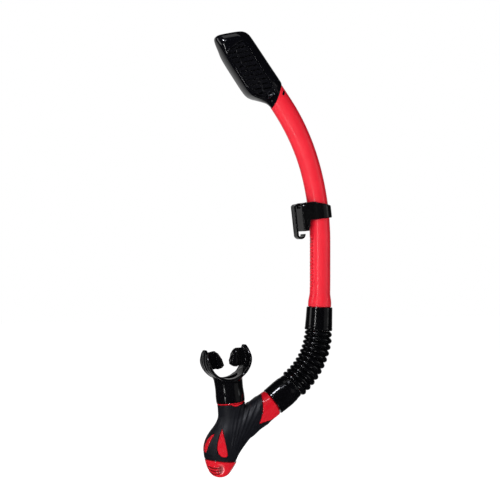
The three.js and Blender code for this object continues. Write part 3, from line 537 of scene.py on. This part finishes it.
for tag, sg in (("near", -1), ("far", 1)):
    V, F = nets(louvre(sg), [28.5, -14.2 if sg < 0 else 8.0, 122], [56, -8.0 if sg < 0 else 14.2, 190], 0.3, relax=1)
    make(f"louvre_grille_{tag}", H.world(V), F, M_LOUVRE, "tube", [f"louvre_{tag}"])

# ------------------------------------------------------------------ tube
COUNT = 128
th = (np.arange(COUNT) + 0.5) * 2 * pi / COUNT


def tube_a(s):
    return TUBE_A + 0.6 * sstep(s, 90, 165) + 1.45 * sstep(-s, 38, 49.5)


def tube_b(s):
    return TUBE_B + 0.4 * sstep(s, 90, 165) + 0.8 * sstep(-s, 38, 49.5)


s_low = np.concatenate([np.arange(-52.9, 15, 0.3), np.arange(15, 148, 1.2), [148]])
rows = np.repeat(s_low[:, None], COUNT, 1)
# slanted top edge: n = TC + a cos, t on the joint line
a_end = float(tube_a(170.0))
s_end = TOPS + joint_line(TC + a_end * np.cos(th)) - TT
q = np.linspace(0, 1, 30)[1:, None]
rows = np.concatenate([rows, 148 + (s_end - 148)[None] * q])
A, B = tube_a(rows), tube_b(rows)
# rack of notches across the front of the straight part
zz = REF_Z + rows
yy = B * np.sin(th)[None]
front = (np.cos(th)[None] < 0)
fr = ((-20.5 - zz) / 3.9)
k = np.round(fr)
dist = np.abs(fr - k) * 3.9
notch = np.clip((1.15 - dist) / 0.6, 0, 1) * ((k >= 0) & (k <= 13)) * (1 - sstep(np.abs(yy), 4.7, 5.6)) * front
flat = (1 - sstep(np.abs(yy), 4.9, 5.9)) * front * sstep(-zz, 16.5, 18) * (1 - sstep(-zz, 73.5, 75))
x_in = 0.0 * flat + notch * 1.05
outer = ring(rows, A, B, COUNT)
o_, n_, t_ = axis(rows)
outer = outer + n_ * x_in[..., None]
# rounded rims at both ends
rim_hi = ring(np.repeat(s_end[None], 3, 0) + np.array([[0.12], [0.2], [0.2]]), A[-1:] - np.array([[0.12], [0.4], [0.9]]), B[-1:] - np.array([[0.12], [0.4], [0.9]]), COUNT)
rim_lo = ring([-53.2, -53.2, -53.1], [11.5, 12.0, 12.25], [11.6, 12.2, 12.5], COUNT)
spig = ring([-77.8, -77.9, -77.7, -53.3], [9.9, 11.1, 11.4, 11.4], [9.9, 11.1, 11.4, 11.4], COUNT)
outer = np.concatenate([spig, rim_lo, outer, rim_hi])
si = np.concatenate([[-77.7], np.linspace(-50, 148, 60)])
inner = ring(si, np.where(si < -48, BORE, tube_a(np.minimum(si, 200)) - WALL - 1.45 * sstep(-si, 38, 49.5)), np.where(si < -48, BORE, tube_b(si) - WALL - 0.8 * sstep(-si, 38, 49.5)), COUNT)
inner_hi = ring((s_end[None] - 0.6), A[-1:] - WALL, B[-1:] - WALL, COUNT)
inner = np.concatenate([inner, inner_hi])
V, F = pipe_mesh(outer, inner)
tube = make("tube_shell", V, F, M_RED, "tube", ["upper_tube"], sharp=38)
# snap windows: black tongues of the hood that show through the tube's wall, drawn as thin patches lying flush on it
snap = []
for sg, tag in ((-1, "near"), (1, "far")):
    m = 40
    ang = np.arange(m) * 2 * pi / m
    qx = 1.3 * np.cos(ang) + 1.5 * np.sign(np.cos(ang)); qz = 1.3 * np.sin(ang)
    px, pz = 0.831 * qx - 0.557 * qz, 0.557 * qx + 0.831 * qz
    rws = []
    for scale, yoff in ((1.0, -0.6), (1.0, 0.02), (0.86, 0.12), (0.5, 0.06), (0.05, 0.05)):
        nn = TC + 5.7 + px * scale
        tt = 118.8 + pz * scale
        aa, bb = a_end, float(tube_b(170.0))
        ys = bb * np.sqrt(np.maximum(0, 1 - ((nn - TC) / aa) ** 2)) + yoff
        rws.append(np.stack([nn, sg * ys, tt], 1))
    Vv, Ff = grid(np.array(rws), cap=True)
    snap.append(make(f"snap_tongue_{tag}", H.world(Vv), Ff, M_HOOD, "tube", sharp=40))

# ------------------------------------------------------------------ keeper and clip
kx, kz, kl = axis_at(48.1)
K = Fr(kx, kz, kl)
IN, OUTER = -26.1, -28.3
BLOCK = [[-21.3, -19], [-15.5, -19], [-12.8, -8], [-4, -7.6], [-4, 11.1], [-19.8, 11.1], [-21.3, 9.6]]
ARCH = [[-20.0, -17], [-16.6, -17], [-16.6, -7.5], [-17.0, -6], [-18.3, -5.2], [-19.6, -6], [-20.0, -7.5]]
BLK2, ARC2 = inset(BLOCK, 0.7), inset(ARCH, 0.5)


# the bore clears the tube's curve over the whole travel of the keeper
SLIDE = np.array([2.0, 0, -50.0]) / math.hypot(2, 50)
BORES = []
for q_ in np.linspace(0, 50, 11):
    o_ = axis(48.1 - q_ + np.arange(-34, 31, 2.0))[0] - SLIDE * q_ - K.o
    BORES.append((o_ @ K.t, o_ @ K.n))


def keeper(n, y, t):
    col = ((np.abs(n - 0.3) / 13.3) ** 2.1 + (np.abs(y) / 14.2) ** 2.1) ** (1 / 2.1)
    col = (col - 1) * 13.3
    top = smax(t - 11.2, (t - 11.2 + 0.275 * (n + 9)) * 0.964, 2.0)
    band = smax(smax(col, top, 1.1), -7.8 - t, 1.1)
    blk = smax(poly_sd(n, t, BLK2) - 0.7, np.abs(y) - 11.6, 1.3)
    rec = np.maximum(poly_sd(n, t, ARC2) - 0.5, 10.2 - np.abs(y))
    blk = smax(blk, -rec, 0.4)
    f = smin(band, blk, 1.4)
    bore = np.full(np.shape(n), 1e9)
    for ts, ns in BORES:
        bore = np.minimum(bore, (np.hypot((n - np.interp(t, ts, ns)) / 11.33, y / 12.2) - 1) * 11.3)
    f = smax(f, -bore, 0.5)
    f = smax(f, -np.maximum(np.maximum(n + 17.0, 5.4 - t), np.abs(y) - 6.7), 0.35)
    return smax(f, -(np.hypot(n + 18.9, t - 8.0) - 1.3), 0.2)


V, F = nets(keeper, [-22, -15.5, -20.5], [15, 15.5, 12.5], 0.4)
make("keeper_moulding", K.world(V), F, M_KEEPER, "keeper", ["keeper_band"])

prof = []


def arc(ox, ot, r, a0, a1, n):
    for i in range(n + 1):
        a = math.radians(a0 + (a1 - a0) * i / n)
        prof.append([ox + r * math.cos(a), ot + r * math.sin(a)])


arc(OUTER + 3.4, 7.2, 3.4, 90, 180, 6)
arc(-23.5, -22.2, 4.8, 180, 365, 20)
arc(-23.5, -22.2, 2.6, 365, 180, 16)
arc(IN + 1.2, 6.9, 1.2, 180, 90, 4)
prof.append([-20.3, 8.1])
arc(-18.9, 8.0, 1.7, 180, 450, 16)
prof.append([-19.5, 10.6])
PROF = prof


def clip(n, y, t):
    f = smax(poly_sd(n, t, PROF), np.abs(y) - 6.4, 0.9)
    # shallow channel along the outer face
    f = smax(f, -smax(np.abs(y) - 4.6, np.maximum(n - (OUTER + 0.35), np.maximum(t - 5.5, -20.5 - t)), 0.3), 0.3)
    return smax(f, -(np.hypot(n + 18.9, t - 8.0) - 1.3), 0.2)


V, F = nets(clip, [-29.5, -7.2, -28.2], [-16.2, 7.2, 11.8], 0.28)
make("strap_clip", K.world(V), F, M_KEEPER, "clip", ["strap_gate"])
# pin with domed, peened ends
pin_rows = []
for yv, r in ((-11.5, 0.01), (-11.5, 0.35), (-11.4, 0.75), (-11.15, 1.0), (-10.9, 1.05), (10.9, 1.05), (11.15, 1.0), (11.4, 0.75), (11.5, 0.35), (11.5, 0.01)):
    a = np.arange(32) * 2 * pi / 32
    pin_rows.append(np.stack([-18.9 + r * np.cos(a), 0 * a + yv, 8.0 + r * np.sin(a)], 1))
V, F = grid(np.array(pin_rows), cap=True)
make("hinge_pin", K.world(V), F, M_STEEL, "keeper", ["gate_pin"], sharp=50)

# ------------------------------------------------------------------ hose
HC = 112


def swept_pipe(name, rows, bore, mat, body, rep=(), sharp=None):
    """rows: [distance below the reference, radius]; rounded by fine sampling."""
    r = np.array(rows, float)
    out = ring(-r[:, 0], r[:, 1], r[:, 1], HC)
    inn = ring([-r[0, 0], -(r[0, 0] + r[-1, 0]) / 2, -r[-1, 0]], [bore] * 3, [bore] * 3, HC)
    V, F = pipe_mesh(out, inn)
    return make(name, V, F, mat, body, rep, sharp=sharp)


def rounded(rows, n=6):
    """Fine rows through the given ones, straight between them."""
    r = np.array(rows, float)
    s = np.concatenate([np.linspace(r[i, 0], r[i + 1, 0], n, endpoint=False) for i in range(len(r) - 1)] + [[r[-1, 0]]])
    return [[a, b] for a, b in zip(s, np.interp(s, r[:, 0], r[:, 1]))]


def bump_row(s, c, w, h):
    return h * np.exp(-((s - c) / w) ** 2)


# upper cuff: lips at both ends and a shallow step
s = np.concatenate([np.linspace(CUFF_TOP + 1.2, CUFF_TOP + 2.6, 12), np.linspace(CUFF_TOP + 2.8, CUFF_END - 2.0, 60), np.linspace(CUFF_END - 1.9, CUFF_END, 16)])
base = np.interp(s, [53.6, 56, 64, 77.4, 78.4], [13.75, 13.85, 14.1, 14.75, 14.75])
edge = 1.0 * (1 - np.sqrt(np.clip(1 - np.clip((54.5 - s) / 0.9, 0, 1) ** 2, 0, 1))) * 0.6 + 0.9 * (1 - np.sqrt(np.clip(1 - np.clip((s - 77.2) / 1.2, 0, 1) ** 2, 0, 1)))
r = base - edge - bump_row(s, 74.6, 0.5, 0.16) + bump_row(s, 76.4, 0.9, 0.12)
swept_pipe("hose_cuff_top", list(zip(s, r)), 11.7, M_SIL, "tube", ["hose_cuff_upper"])

s = np.concatenate([np.linspace(BELLOWS_END + 0.3, BELLOWS_END + 3, 24), np.linspace(BELLOWS_END + 3.2, 170.6, 60), np.linspace(170.7, LOWER_CUFF_END, 20)])
base = np.interp(s, [144.6, 146, 149.5, 151.5, 158, 167, 172.3], [13.7, 14.35, 14.55, 15.15, 15.5, 15.3, 15.15])
base = np.convolve(np.pad(base, 3, mode="edge"), np.ones(7) / 7, "valid")
edge = 0.9 * (1 - np.sqrt(np.clip(1 - np.clip((s - 171.3) / 1.0, 0, 1) ** 2, 0, 1))) + 0.7 * (1 - np.sqrt(np.clip(1 - np.clip((145.4 - s) / 0.8, 0, 1) ** 2, 0, 1)))
r = base - edge - bump_row(s, 169.3, 0.45, 0.14)
swept_pipe("hose_cuff_bottom", list(zip(s, r)), 11.7, M_SIL, "lower", ["hose_cuff_lower"])

b0, b1 = CUFF_END + 0.3, BELLOWS_END
pitch = (b1 - b0) / RIBS


def rib_r(s):
    u = (s - b0) / pitch
    c = np.abs(np.cos(pi * (u - 0.5)))
    top = RIB_R - 0.6 * (1 - sstep(s, b0, b0 + 9)) + RIB_GROW * (s - b0) / (b1 - b0)
    return top - GROOVE * (1 - c ** 0.6)


half = b0 + 5 * pitch
hose_parts = []
for name, lo, hi in (("hose_ribs_upper", b0, half), ("hose_ribs_lower", half, b1)):
    s = np.linspace(lo, hi, int(round((hi - lo) / pitch)) * 28 + 1)
    out = ring(-s, rib_r(s), rib_r(s), HC)
    # the ribs stand a little further out on the outside of the bend
    out = out + axis(-s)[1][:, None] * (0.8 * np.sin(np.clip((s - b0) / (b1 - b0), 0, 1) * pi) ** 0.7)[:, None, None]
    si = np.linspace(lo, hi, 24)
    inn = ring(-si, np.full(24, BORE), np.full(24, BORE), HC)
    V, F = pipe_mesh(out, inn)
    hose_parts.append(make(name, V, F, M_SIL))

# ------------------------------------------------------------------ lower body and its soft grip
NECK, PURGE = Fr(-73.5, -192.6, 6.7), Fr(-84.5, -251.6, -6)
bx, bz, bl = axis_at(-200)
BR = Fr(bx, bz, bl)
COLUMN = [[-192.6, -73.5, 15.0], [-200, -73.0, 14.7], [-208, -72.9, 14.8], [-215.2, -75.0, 15.9], [-222.3, -78.6, 17.7],
          [-229.5, -81.2, 19.3], [-236.5, -82.9, 19.8], [-243, -83.8, 19.1], [-248.4, -84.3, 17.9], [-251.6, -84.5, 17.0], [-256, -84.7, 15.8]]
COL = Table(COLUMN[::-1])
BRANCH = Table([[172.6, 15.0], [178, 15.3], [187, 15.6], [200, 16.0], [216, 16.9], [232, 17.0]])
TEAR = [[-0.6, -217.8], [-3.4, -224.5], [-5.4, -231.5], [-6.0, -237.5], [-4.6, -242.8], [-1.0, -246.4], [3.2, -246.9], [5.2, -245.6], [4.9, -241.5], [3.6, -235], [1.9, -227.5], [0.3, -220]]
BARE = [[-39.0, -172], [-40.2, -181.5], [-41.9, -187], [-42.1, -191.5], [-43.0, -202.6], [-46.4, -214.2], [-39.0, -212.2], [-31.5, -211.4], [-24, -208.6], [-10, -215], [8, -190], [-22, -160]]
LEAF = [[5.0, -222.6], [2.0, -224.5], [-1.8, -229], [-4.4, -235.5], [-5.0, -240.5], [-3.8, -243.4], [-1.2, -242.8], [1.6, -238.5], [4.0, -231.5], [5.4, -225.4]]
TEARS = (-9, -70, -110, -171)


def local(fr, x, y, z):
    dx, dz = x - fr.o[0], z - fr.o[2]
    return dx * fr.n[0] + dz * fr.n[2], dx * fr.t[0] + dz * fr.t[2]


def lower_outer(x, y, z):
    dc = (np.hypot(x - COL(z, 0), y) - COL(z, 1)) * 0.97
    nn, tn = local(NECK, x, y, z)
    dc = smax(dc, tn + 0.1, 0.7)
    nb, tb = local(BR, x, y, z)
    sd = 200 - tb
    nb = nb + np.maximum(187 - sd, 0) ** 2 / 750
    db = np.hypot(nb, y) - BRANCH(sd)
    db = smax(db, 172.9 - sd, 0.8)
    db = smax(db, sd - 231, 2.0)
    db = smax(db, -np.maximum(np.hypot(nn, y) - 15.9, -0.1 - tn), 0.5)
    k = 2.5 + 9 * sstep(nb, -2, 12)
    f = smin(dc, db, k)
    np_, tp = local(PURGE, x, y, z)
    return smax(f, -tp, 0.5)


def tear_sd(x, y, z, az):
    a = math.radians(az)
    out, side = (math.sin(a), -math.cos(a)), (math.cos(a), math.sin(a))
    w = (x + 83.5) * out[0] + y * out[1]
    u = (x + 83.5) * side[0] + y * side[1]
    if az < -90:
        u = -u
    d = poly_sd(u, z, LEAF if -150 < az < -30 else TEAR)
    return np.where(w > 5, d, 30.0)


def notch_sd(x, y, z):
    """Where the grip's top edge dips and shows the body: below zero inside."""
    nn, tn = local(NECK, x, y, z)
    beta = np.degrees(np.arctan2(nn, np.abs(y)))
    depth = np.interp(beta, [-17, 5, 9, 72], [0.35, 2.9, 3.0, 0.2])
    return np.where((beta > -60) & (tn < 3), np.maximum(-(tn + depth), nn - 16.4), 20.0)


def regions(x, y, z):
    r = np.minimum(poly_sd(x, z, BARE), notch_sd(x, y, z))
    for az in TEARS:
        r = np.minimum(r, tear_sd(x, y, z, az))
    return r


def flow(x, y, z):
    """Soft ridges that fan out from the purge joint up the branch."""
    qx, qz = x + 83.5, z + 277.0
    ang = np.degrees(np.arctan2(qx, qz))
    rad = np.hypot(qx, qz)
    ang = ang - 0.06 * (rad - 40)
    ph = ang / 3.4
    fr = ph - np.floor(ph)
    w = np.minimum(fr / 0.72, (1 - fr) / 0.28)
    w = w * w * (3 - 2 * w)
    m = sstep(ang, 3.5, 9) * (1 - sstep(ang, 44, 52)) * sstep(rad, 32, 48)
    edge = sstep(poly_sd(x, z, BARE), 0.8, 4.0)
    return 0.62 * w * m * sstep(np.abs(y), 1.0, 6.0) * edge


def grip(x, y, z):
    o = lower_outer(x, y, z)
    f = smax(o + 0.5 - flow(x, y, z), -(o + 1.55), 0.25)
    f = smax(f, -regions(x, y, z), 0.7)
    return f


def body(x, y, z):
    o = lower_outer(x, y, z)
    r = regions(x, y, z)
    core = o + 1.85
    f = smin(core, smax(o + 0.35, r + 0.32, 0.5), 0.3)
    nn, tn = local(NECK, x, y, z)
    rr = np.hypot(nn, y)
    f = smin(f, smax(np.maximum(rr - 12.6, -0.9 - tn), tn - 0.4, 0.2), 0.2)
    f = smin(f, smax(rr - 14.75, np.abs(tn - 0.55) - 0.5, 0.35), 0.15)
    f = smin(f, smax(rr - 11.6, np.maximum(tn - 15, -2 - tn), 0.5), 0.3)
    npp, tp = local(PURGE, x, y, z)
    rp = np.hypot(npp, y)
    f = smin(f, smax(rp - 14.35, np.abs(tp + 0.6) - 2.5, 0.4), 0.2)
    hollow = np.maximum(np.maximum(o + 4.2, z + 211), -tp - 0.4)
    hollow = np.minimum(hollow, np.maximum(rp - 12.8, np.abs(tp) - 6))
    hollow = np.minimum(hollow, np.maximum(rr - 9.6, -(z + 222)))
    nb, tb = local(BR, x, y, z)
    hollow = np.minimum(hollow, np.maximum(np.hypot(nb + np.maximum(tb - 13, 0) ** 2 / 750, y) - 9.6, -tb - 24))
    return smax(f, -hollow, 0.4)


V, F = nets(grip, [-105, -21, -253], [-20, 21, -168], 0.5)
make("soft_grip", V, F, M_GRIP, "lower", ["overmould_grip"])
V, F = nets(body, [-105, -21, -256.5], [-20, 21, -168], 0.55)
lower = make("rigid_body", V, F, M_REDG, "lower", ["lower_body"])
swept_pipe("hose_stub", [[146.5, 11.0], [146.9, 11.4], [160, 11.4], [173.6, 11.4]], 9.6, M_REDG, "lower")

# ------------------------------------------------------------------ purge cap
CAP = Table([[0.3, 16.9], [4, 15.6], [8.3, 13.7], [12.6, 11.2], [15.6, 8.4], [17.6, 5.2], [18.6, 2.4], [19.2, 0.5]])
INN = Table([[0.2, 15.75], [3.4, 14.75], [4.3, 13.6], [8.3, 12.1], [12.4, 9.7], [15.2, 6.9], [16.8, 3.2], [17.1, 1.2], [17.6, 0.1]])


def cap(n, y, t):
    h = -t
    rho = np.hypot(n, y)
    o = (rho - CAP(h)) * 0.85
    az = np.degrees(np.arctan2(n, -y))
    azf = np.where(y > 0, np.degrees(np.arctan2(n, y)), az)   # mirrored on the far flank
    e = np.radians(azf + 12)
    fac = (rho * np.cos(e)) * 0.89 + h * 0.456 - 15.25
    o = smax(o, fac, 0.25)
    e = np.radians(azf - 62)
    o = smax(o, (rho * np.cos(e)) * 0.89 + h * 0.456 - 15.55, 0.5)
    # scales: each outlet has a lip above it
    da = azf + 44
    ledge = 0.0
    for h0, half in ((7.2, 36), (10.4, 38), (13.5, 40)):
        u = np.clip(1 - (da / half) ** 2, 0, 1)
        hc = h0 + 1.5 * u - 0.9
        ledge = ledge + 0.55 * u * np.exp(-((h - (hc - 1.3)) / 0.8) ** 2)
        # a groove, and behind its upper edge the slit that goes through the wall
        sq, off = np.sqrt(u + 1e-4), 0.2 * (u <= 0)
        groove = np.maximum(np.abs(h - hc) - 1.1 * sq + off, CAP(h) - rho - 1.1)
        slit = np.abs(h - (hc - 0.75 * sq)) - 0.4 * sq + off
        o = smax(o, np.where(np.abs(da) < half + 6, -np.minimum(groove, slit) * 0.85, -9), 0.2)
    o = o - ledge
    o = smax(o, h - 18.7, 2.5)
    f = smax(o, 0.3 - h, 0.5)
    inner = np.maximum((rho - INN(h)) * 0.85, h - 17.2)
    return smax(f, -inner, 0.25)


V, F = nets(cap, [-18, -18, -19.6], [18, 18, 0.4], 0.34)
cover = make("purge_cover", PURGE.world(V), F, M_REDG, "lower", ["purge_cap"])
# the outlets' floors get a darker, rougher red: painted shade in the grooves
C = V[F].mean(1)
rho_, h_ = np.hypot(C[:, 0], C[:, 1]), -C[:, 2]
dep_ = CAP(h_) - rho_
cover.data.materials.append(M_RED_PAINTED_SHADE)
cover.data.polygons.foreach_set("material_index", ((dep_ > 0.45) & (dep_ < 1.35) & (h_ > 4.5) & (h_ < 15.5)).astype(np.int32))
cover.data.update()

# ------------------------------------------------------------------ mouthpiece
turn = math.radians(5)
ML = NECK.n * math.cos(turn) + np.array([0, math.sin(turn), 0])
MH = np.cross(NECK.t, ML)
RU, M0, EXT = 22.9, 24.8, 11.0
MC, ARCL = M0 + RU, RU * pi / 2
FULL = ARCL + EXT
HALF = Table([[0, 13.4], [0.3, 13.8], [0.55, 15.2], [0.68, 15.4], [0.8, 13.6], [0.92, 9.0], [1, 3.4], [1.1, 0.6]], 0.01)
TAB = inset([[22.4, 37.5], [10.2, 37.4], [6.5, 38.4], [4.8, 41.0], [5.2, 44.2], [6.3, 47.2], [7.7, 50.3], [9.6, 53.6], [12, 56.4], [22.6, 55.4]], 1.0)
LUG = inset([[10.5, 37.2], [6.2, 38.0], [4.1, 40.3], [4.5, 44.0], [5.6, 47.2], [7.0, 50.3], [9.0, 53.6], [11.2, 55.4], [13.0, 55.0], [12.0, 40.0]], 1.0)
NR = Table([[0, 15.0], [1.3, 15.0], [8, 15.1], [13, 14.75], [17, 14.7], [22, 14.9], [33, 15.3], [60, 15.3]])


def mouth(l, h, m):
    al, ah = np.abs(l), np.abs(h)
    d = m - MC
    rad = np.hypot(l, d)
    below = d < 0
    s = np.where(below, RU * np.arctan2(al, -d), ARCL + d)
    e = np.where(below, RU - rad, RU - 0.10 * np.maximum(d, 0) - al)
    q = s / FULL
    hh = HALF(q)
    v = np.clip(ah / hh, 0, 1.3)
    lip = 0.5 * np.exp(-((ah - (hh - 1.2)) / 1.0) ** 2) * sstep(q, 0.05, 0.3)
    th = 1.3 - 0.55 * v**3 + lip
    spine = (0.55 * np.exp(-(h / 1.3) ** 2) + 0.3 * np.exp(-((ah - 7.5) / 1.1) ** 2)) * sstep(q, 0.35, 0.6) * (1 - sstep(q, 0.86, 0.97))
    fo = -e - (th + spine * 1.0)
    fi = e - th
    f = smax(smax(fo, fi, 0.5), ah - hh, 1.1)
    f = smax(f, (s - FULL), 1.5)
    rn = np.hypot(l, h)
    neck = smax(rn - NR(m), e - 0.3, 0.5)
    neck = smax(neck, 1.32 - m, 0.7)
    f = smin(f, neck, 3.6)
    bumps = 0.3 * np.sin(0.95 * m + 0.6) * np.sin(0.62 * h + 0.8 * np.sign(l))
    tab = smax(poly_sd(al, m, TAB) - 1.0, ah - 1.9, 1.4)
    lug = smax(poly_sd(al, m, LUG) - 1.0, ah - 6.2, 3.0) - bumps
    f = smin(f, smin(tab, lug, 1.6), 1.8)
    a = np.interp(m, [0, 16.2, 21, 34], [12.15, 12.15, 10.6, 10.6])
    b = np.interp(m, [0, 16.2, 21, 34], [12.15, 12.15, 8.2, 7.2])
    bore = np.maximum((np.hypot(l / a, h / b) - 1) * b, m - 35)
    return smax(f, -bore, 0.9)


V, F = nets(mouth, [-26.5, -17.5, 0.6], [26.5, 17.5, 60.5], 0.45)
P = NECK.o + V[:, :1] * ML + V[:, 1:2] * MH + V[:, 2:3] * NECK.t
make("mouthpiece_silicone", P, F, M_SILM, "mouth", ["mouthpiece"])

# ------------------------------------------------------------------ the nodes kept from the frame
for node, m, slot in (("inlet_duct", M_DARK, "inner_plastic"), ("seat_ring", M_SIL, "silicone_black"), ("float_pad", M_SIL, "silicone_black"),
                      ("float", M_FLOAT, "inner_plastic"), ("purge_seat", M_DARK, "inner_plastic"), ("purge_valve", M_VALVE, "valve_silicone"),
                      ("purge_seal", M_SIL, "silicone_black")):
    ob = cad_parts[node]
    ob.data.materials.clear()
    ob.data.materials.append(m)
    bv = ob.modifiers.new("edge", "BEVEL")
    bv.width = 0.0003; bv.segments = 3; bv.limit_method = "ANGLE"; bv.angle_limit = math.radians(35)

# ------------------------------------------------------------------ hose ribs: transforms baked into their meshes
mid = axis_at(-half)
up, lo = axis_at(-b0), axis_at(-b1)
for ob, a, b, s0, s1 in ((hose_parts[0], "tube", "hose", up, mid), (hose_parts[1], "hose", "lower", mid, lo)):
    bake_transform(ob)
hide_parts("hose_bellows")

# ------------------------------------------------------------------ stage, light, camera
def plane(name, pts, mat):
    me = bpy.data.meshes.new(name)
    me.from_pydata(pts, [], [list(range(len(pts)))])
    ob = bpy.data.objects.new(name, me)
    bpy.context.scene.collection.objects.link(ob)
    me.materials.append(mat)
    return ob


M_FLOOR, _nt, _bs = node_material("studio_floor")
_w = noise(_nt, 6.0, 3.0)
_nt.links.new(mixcol(_nt, ramp(_nt, _w.outputs["Fac"], 0, 1), (0.93, 0.93, 0.935), (0.95, 0.95, 0.95)), _bs.inputs["Base Color"])
_bs.inputs["Roughness"].default_value = 0.9
_bs.inputs["Specular IOR Level"].default_value = 0.0
_bs.inputs["Emission Color"].default_value = (1, 1, 1, 1)
_bs.inputs["Emission Strength"].default_value = 1.0
R = 6.0
fl = plane("floor", [(-R, -R, -0.46), (R, -R, -0.46), (R, R, -0.46), (-R, R, -0.46)], M_FLOOR)
fl.visible_glossy = False

world = bpy.data.worlds.new("studio")
bpy.context.scene.world = world
world.use_nodes = True
wn = world.node_tree
wn.nodes.clear()
out = wn.nodes.new("ShaderNodeOutputWorld")
lp = wn.nodes.new("ShaderNodeLightPath")
bg_cam = wn.nodes.new("ShaderNodeBackground"); bg_cam.inputs["Color"].default_value = (1, 1, 1, 1); bg_cam.inputs["Strength"].default_value = 1.0
bg_env = wn.nodes.new("ShaderNodeBackground"); bg_env.inputs["Strength"].default_value = 1.0
mix = wn.nodes.new("ShaderNodeMixShader")
co = wn.nodes.new("ShaderNodeTexCoord")
sep = wn.nodes.new("ShaderNodeSeparateXYZ")
wn.links.new(co.outputs["Generated"], sep.inputs[0])
# the room: pale behind the object, dim overhead and where the camera stands
dot = wn.nodes.new("ShaderNodeVectorMath"); dot.operation = "DOT_PRODUCT"
wn.links.new(co.outputs["Generated"], dot.inputs[0])
dot.inputs[1].default_value = (0.2588, 0.9659, 0.0)
mr = wn.nodes.new("ShaderNodeMapRange")
mr.interpolation_type = "SMOOTHSTEP"
mr.inputs["From Min"].default_value, mr.inputs["From Max"].default_value = 0.72, 1.0
mr.inputs["To Min"].default_value, mr.inputs["To Max"].default_value = 0.008, 0.55
wn.links.new(dot.outputs["Value"], mr.inputs["Value"])
comb = wn.nodes.new("ShaderNodeCombineColor")
for i in range(3):
    wn.links.new(mr.outputs["Result"], comb.inputs[i])
wn.links.new(comb.outputs[0], bg_env.inputs["Color"])
wn.links.new(lp.outputs["Is Camera Ray"], mix.inputs["Fac"])
wn.links.new(bg_env.outputs[0], mix.inputs[1])
wn.links.new(bg_cam.outputs[0], mix.inputs[2])
wn.links.new(mix.outputs[0], out.inputs["Surface"])

TARGET = Vector((-0.035, 0, -0.04))


def softbox(name, az, el, dist, w, h, power, color=(1, 1, 1), target=TARGET, glossy=True):
    """az is turned from straight in front (-Y), towards +X."""
    a, e = math.radians(az), math.radians(el)
    d = Vector((math.sin(a) * math.cos(e), -math.cos(a) * math.cos(e), math.sin(e)))
    li = bpy.data.lights.new(name, "AREA")
    li.shape = "RECTANGLE"; li.size, li.size_y = w, h
    li.energy = power; li.color = color
    ob = bpy.data.objects.new(name, li)
    ob.location = target + d * dist
    ob.rotation_euler = (-d).to_track_quat("-Z", "Y").to_euler()
    ob.visible_glossy = glossy
    ob.visible_camera = False
    bpy.context.scene.collection.objects.link(ob)
    return ob


softbox("key", -50, 46, 1.5, 0.16, 0.16, 9.0, (0.90, 0.92, 1.0))
softbox("strip", -49, 4, 1.5, 0.05, 0.50, 2.0)
softbox("fill", -20, 22, 1.7, 1.1, 1.1, 12.0, glossy=False)
softbox("top", -10, 82, 1.3, 0.8, 0.5, 0.7)
softbox("brow", -34, 47, 1.3, 0.75, 0.05, 1.3, (0.88, 0.90, 1.0))
softbox("side_left", -100, 15, 1.6, 0.5, 1.0, 2.6)
softbox("side_right", 66, 12, 1.8, 0.4, 1.0, 1.2)
softbox("right_card", 48, 4, 1.7, 1.2, 1.2, 1.0)
softbox("neck_strip", -53, -11, 0.8, 0.055, 0.10, 0.26, target=Vector((-0.08, 0, -0.2)))
softbox("low_card", -8, -64, 0.185, 0.05, 0.045, 0.05, target=Vector((-0.0845, 0, -0.262)))

cam = bpy.data.cameras.new("camera")
cam.lens = 89.14
cam.sensor_width = 36.0
cam.clip_start, cam.clip_end = 0.05, 30.0
cob = bpy.data.objects.new("camera", cam)
cob.location = (-0.38919, -1.25570, -0.03289)
cob.rotation_euler = Vector((0.2588, 0.9659, 0)).to_track_quat("-Z", "Y").to_euler()
bpy.context.scene.collection.objects.link(cob)
bpy.context.scene.camera = cob
bpy.context.scene.view_settings.view_transform = "Standard"
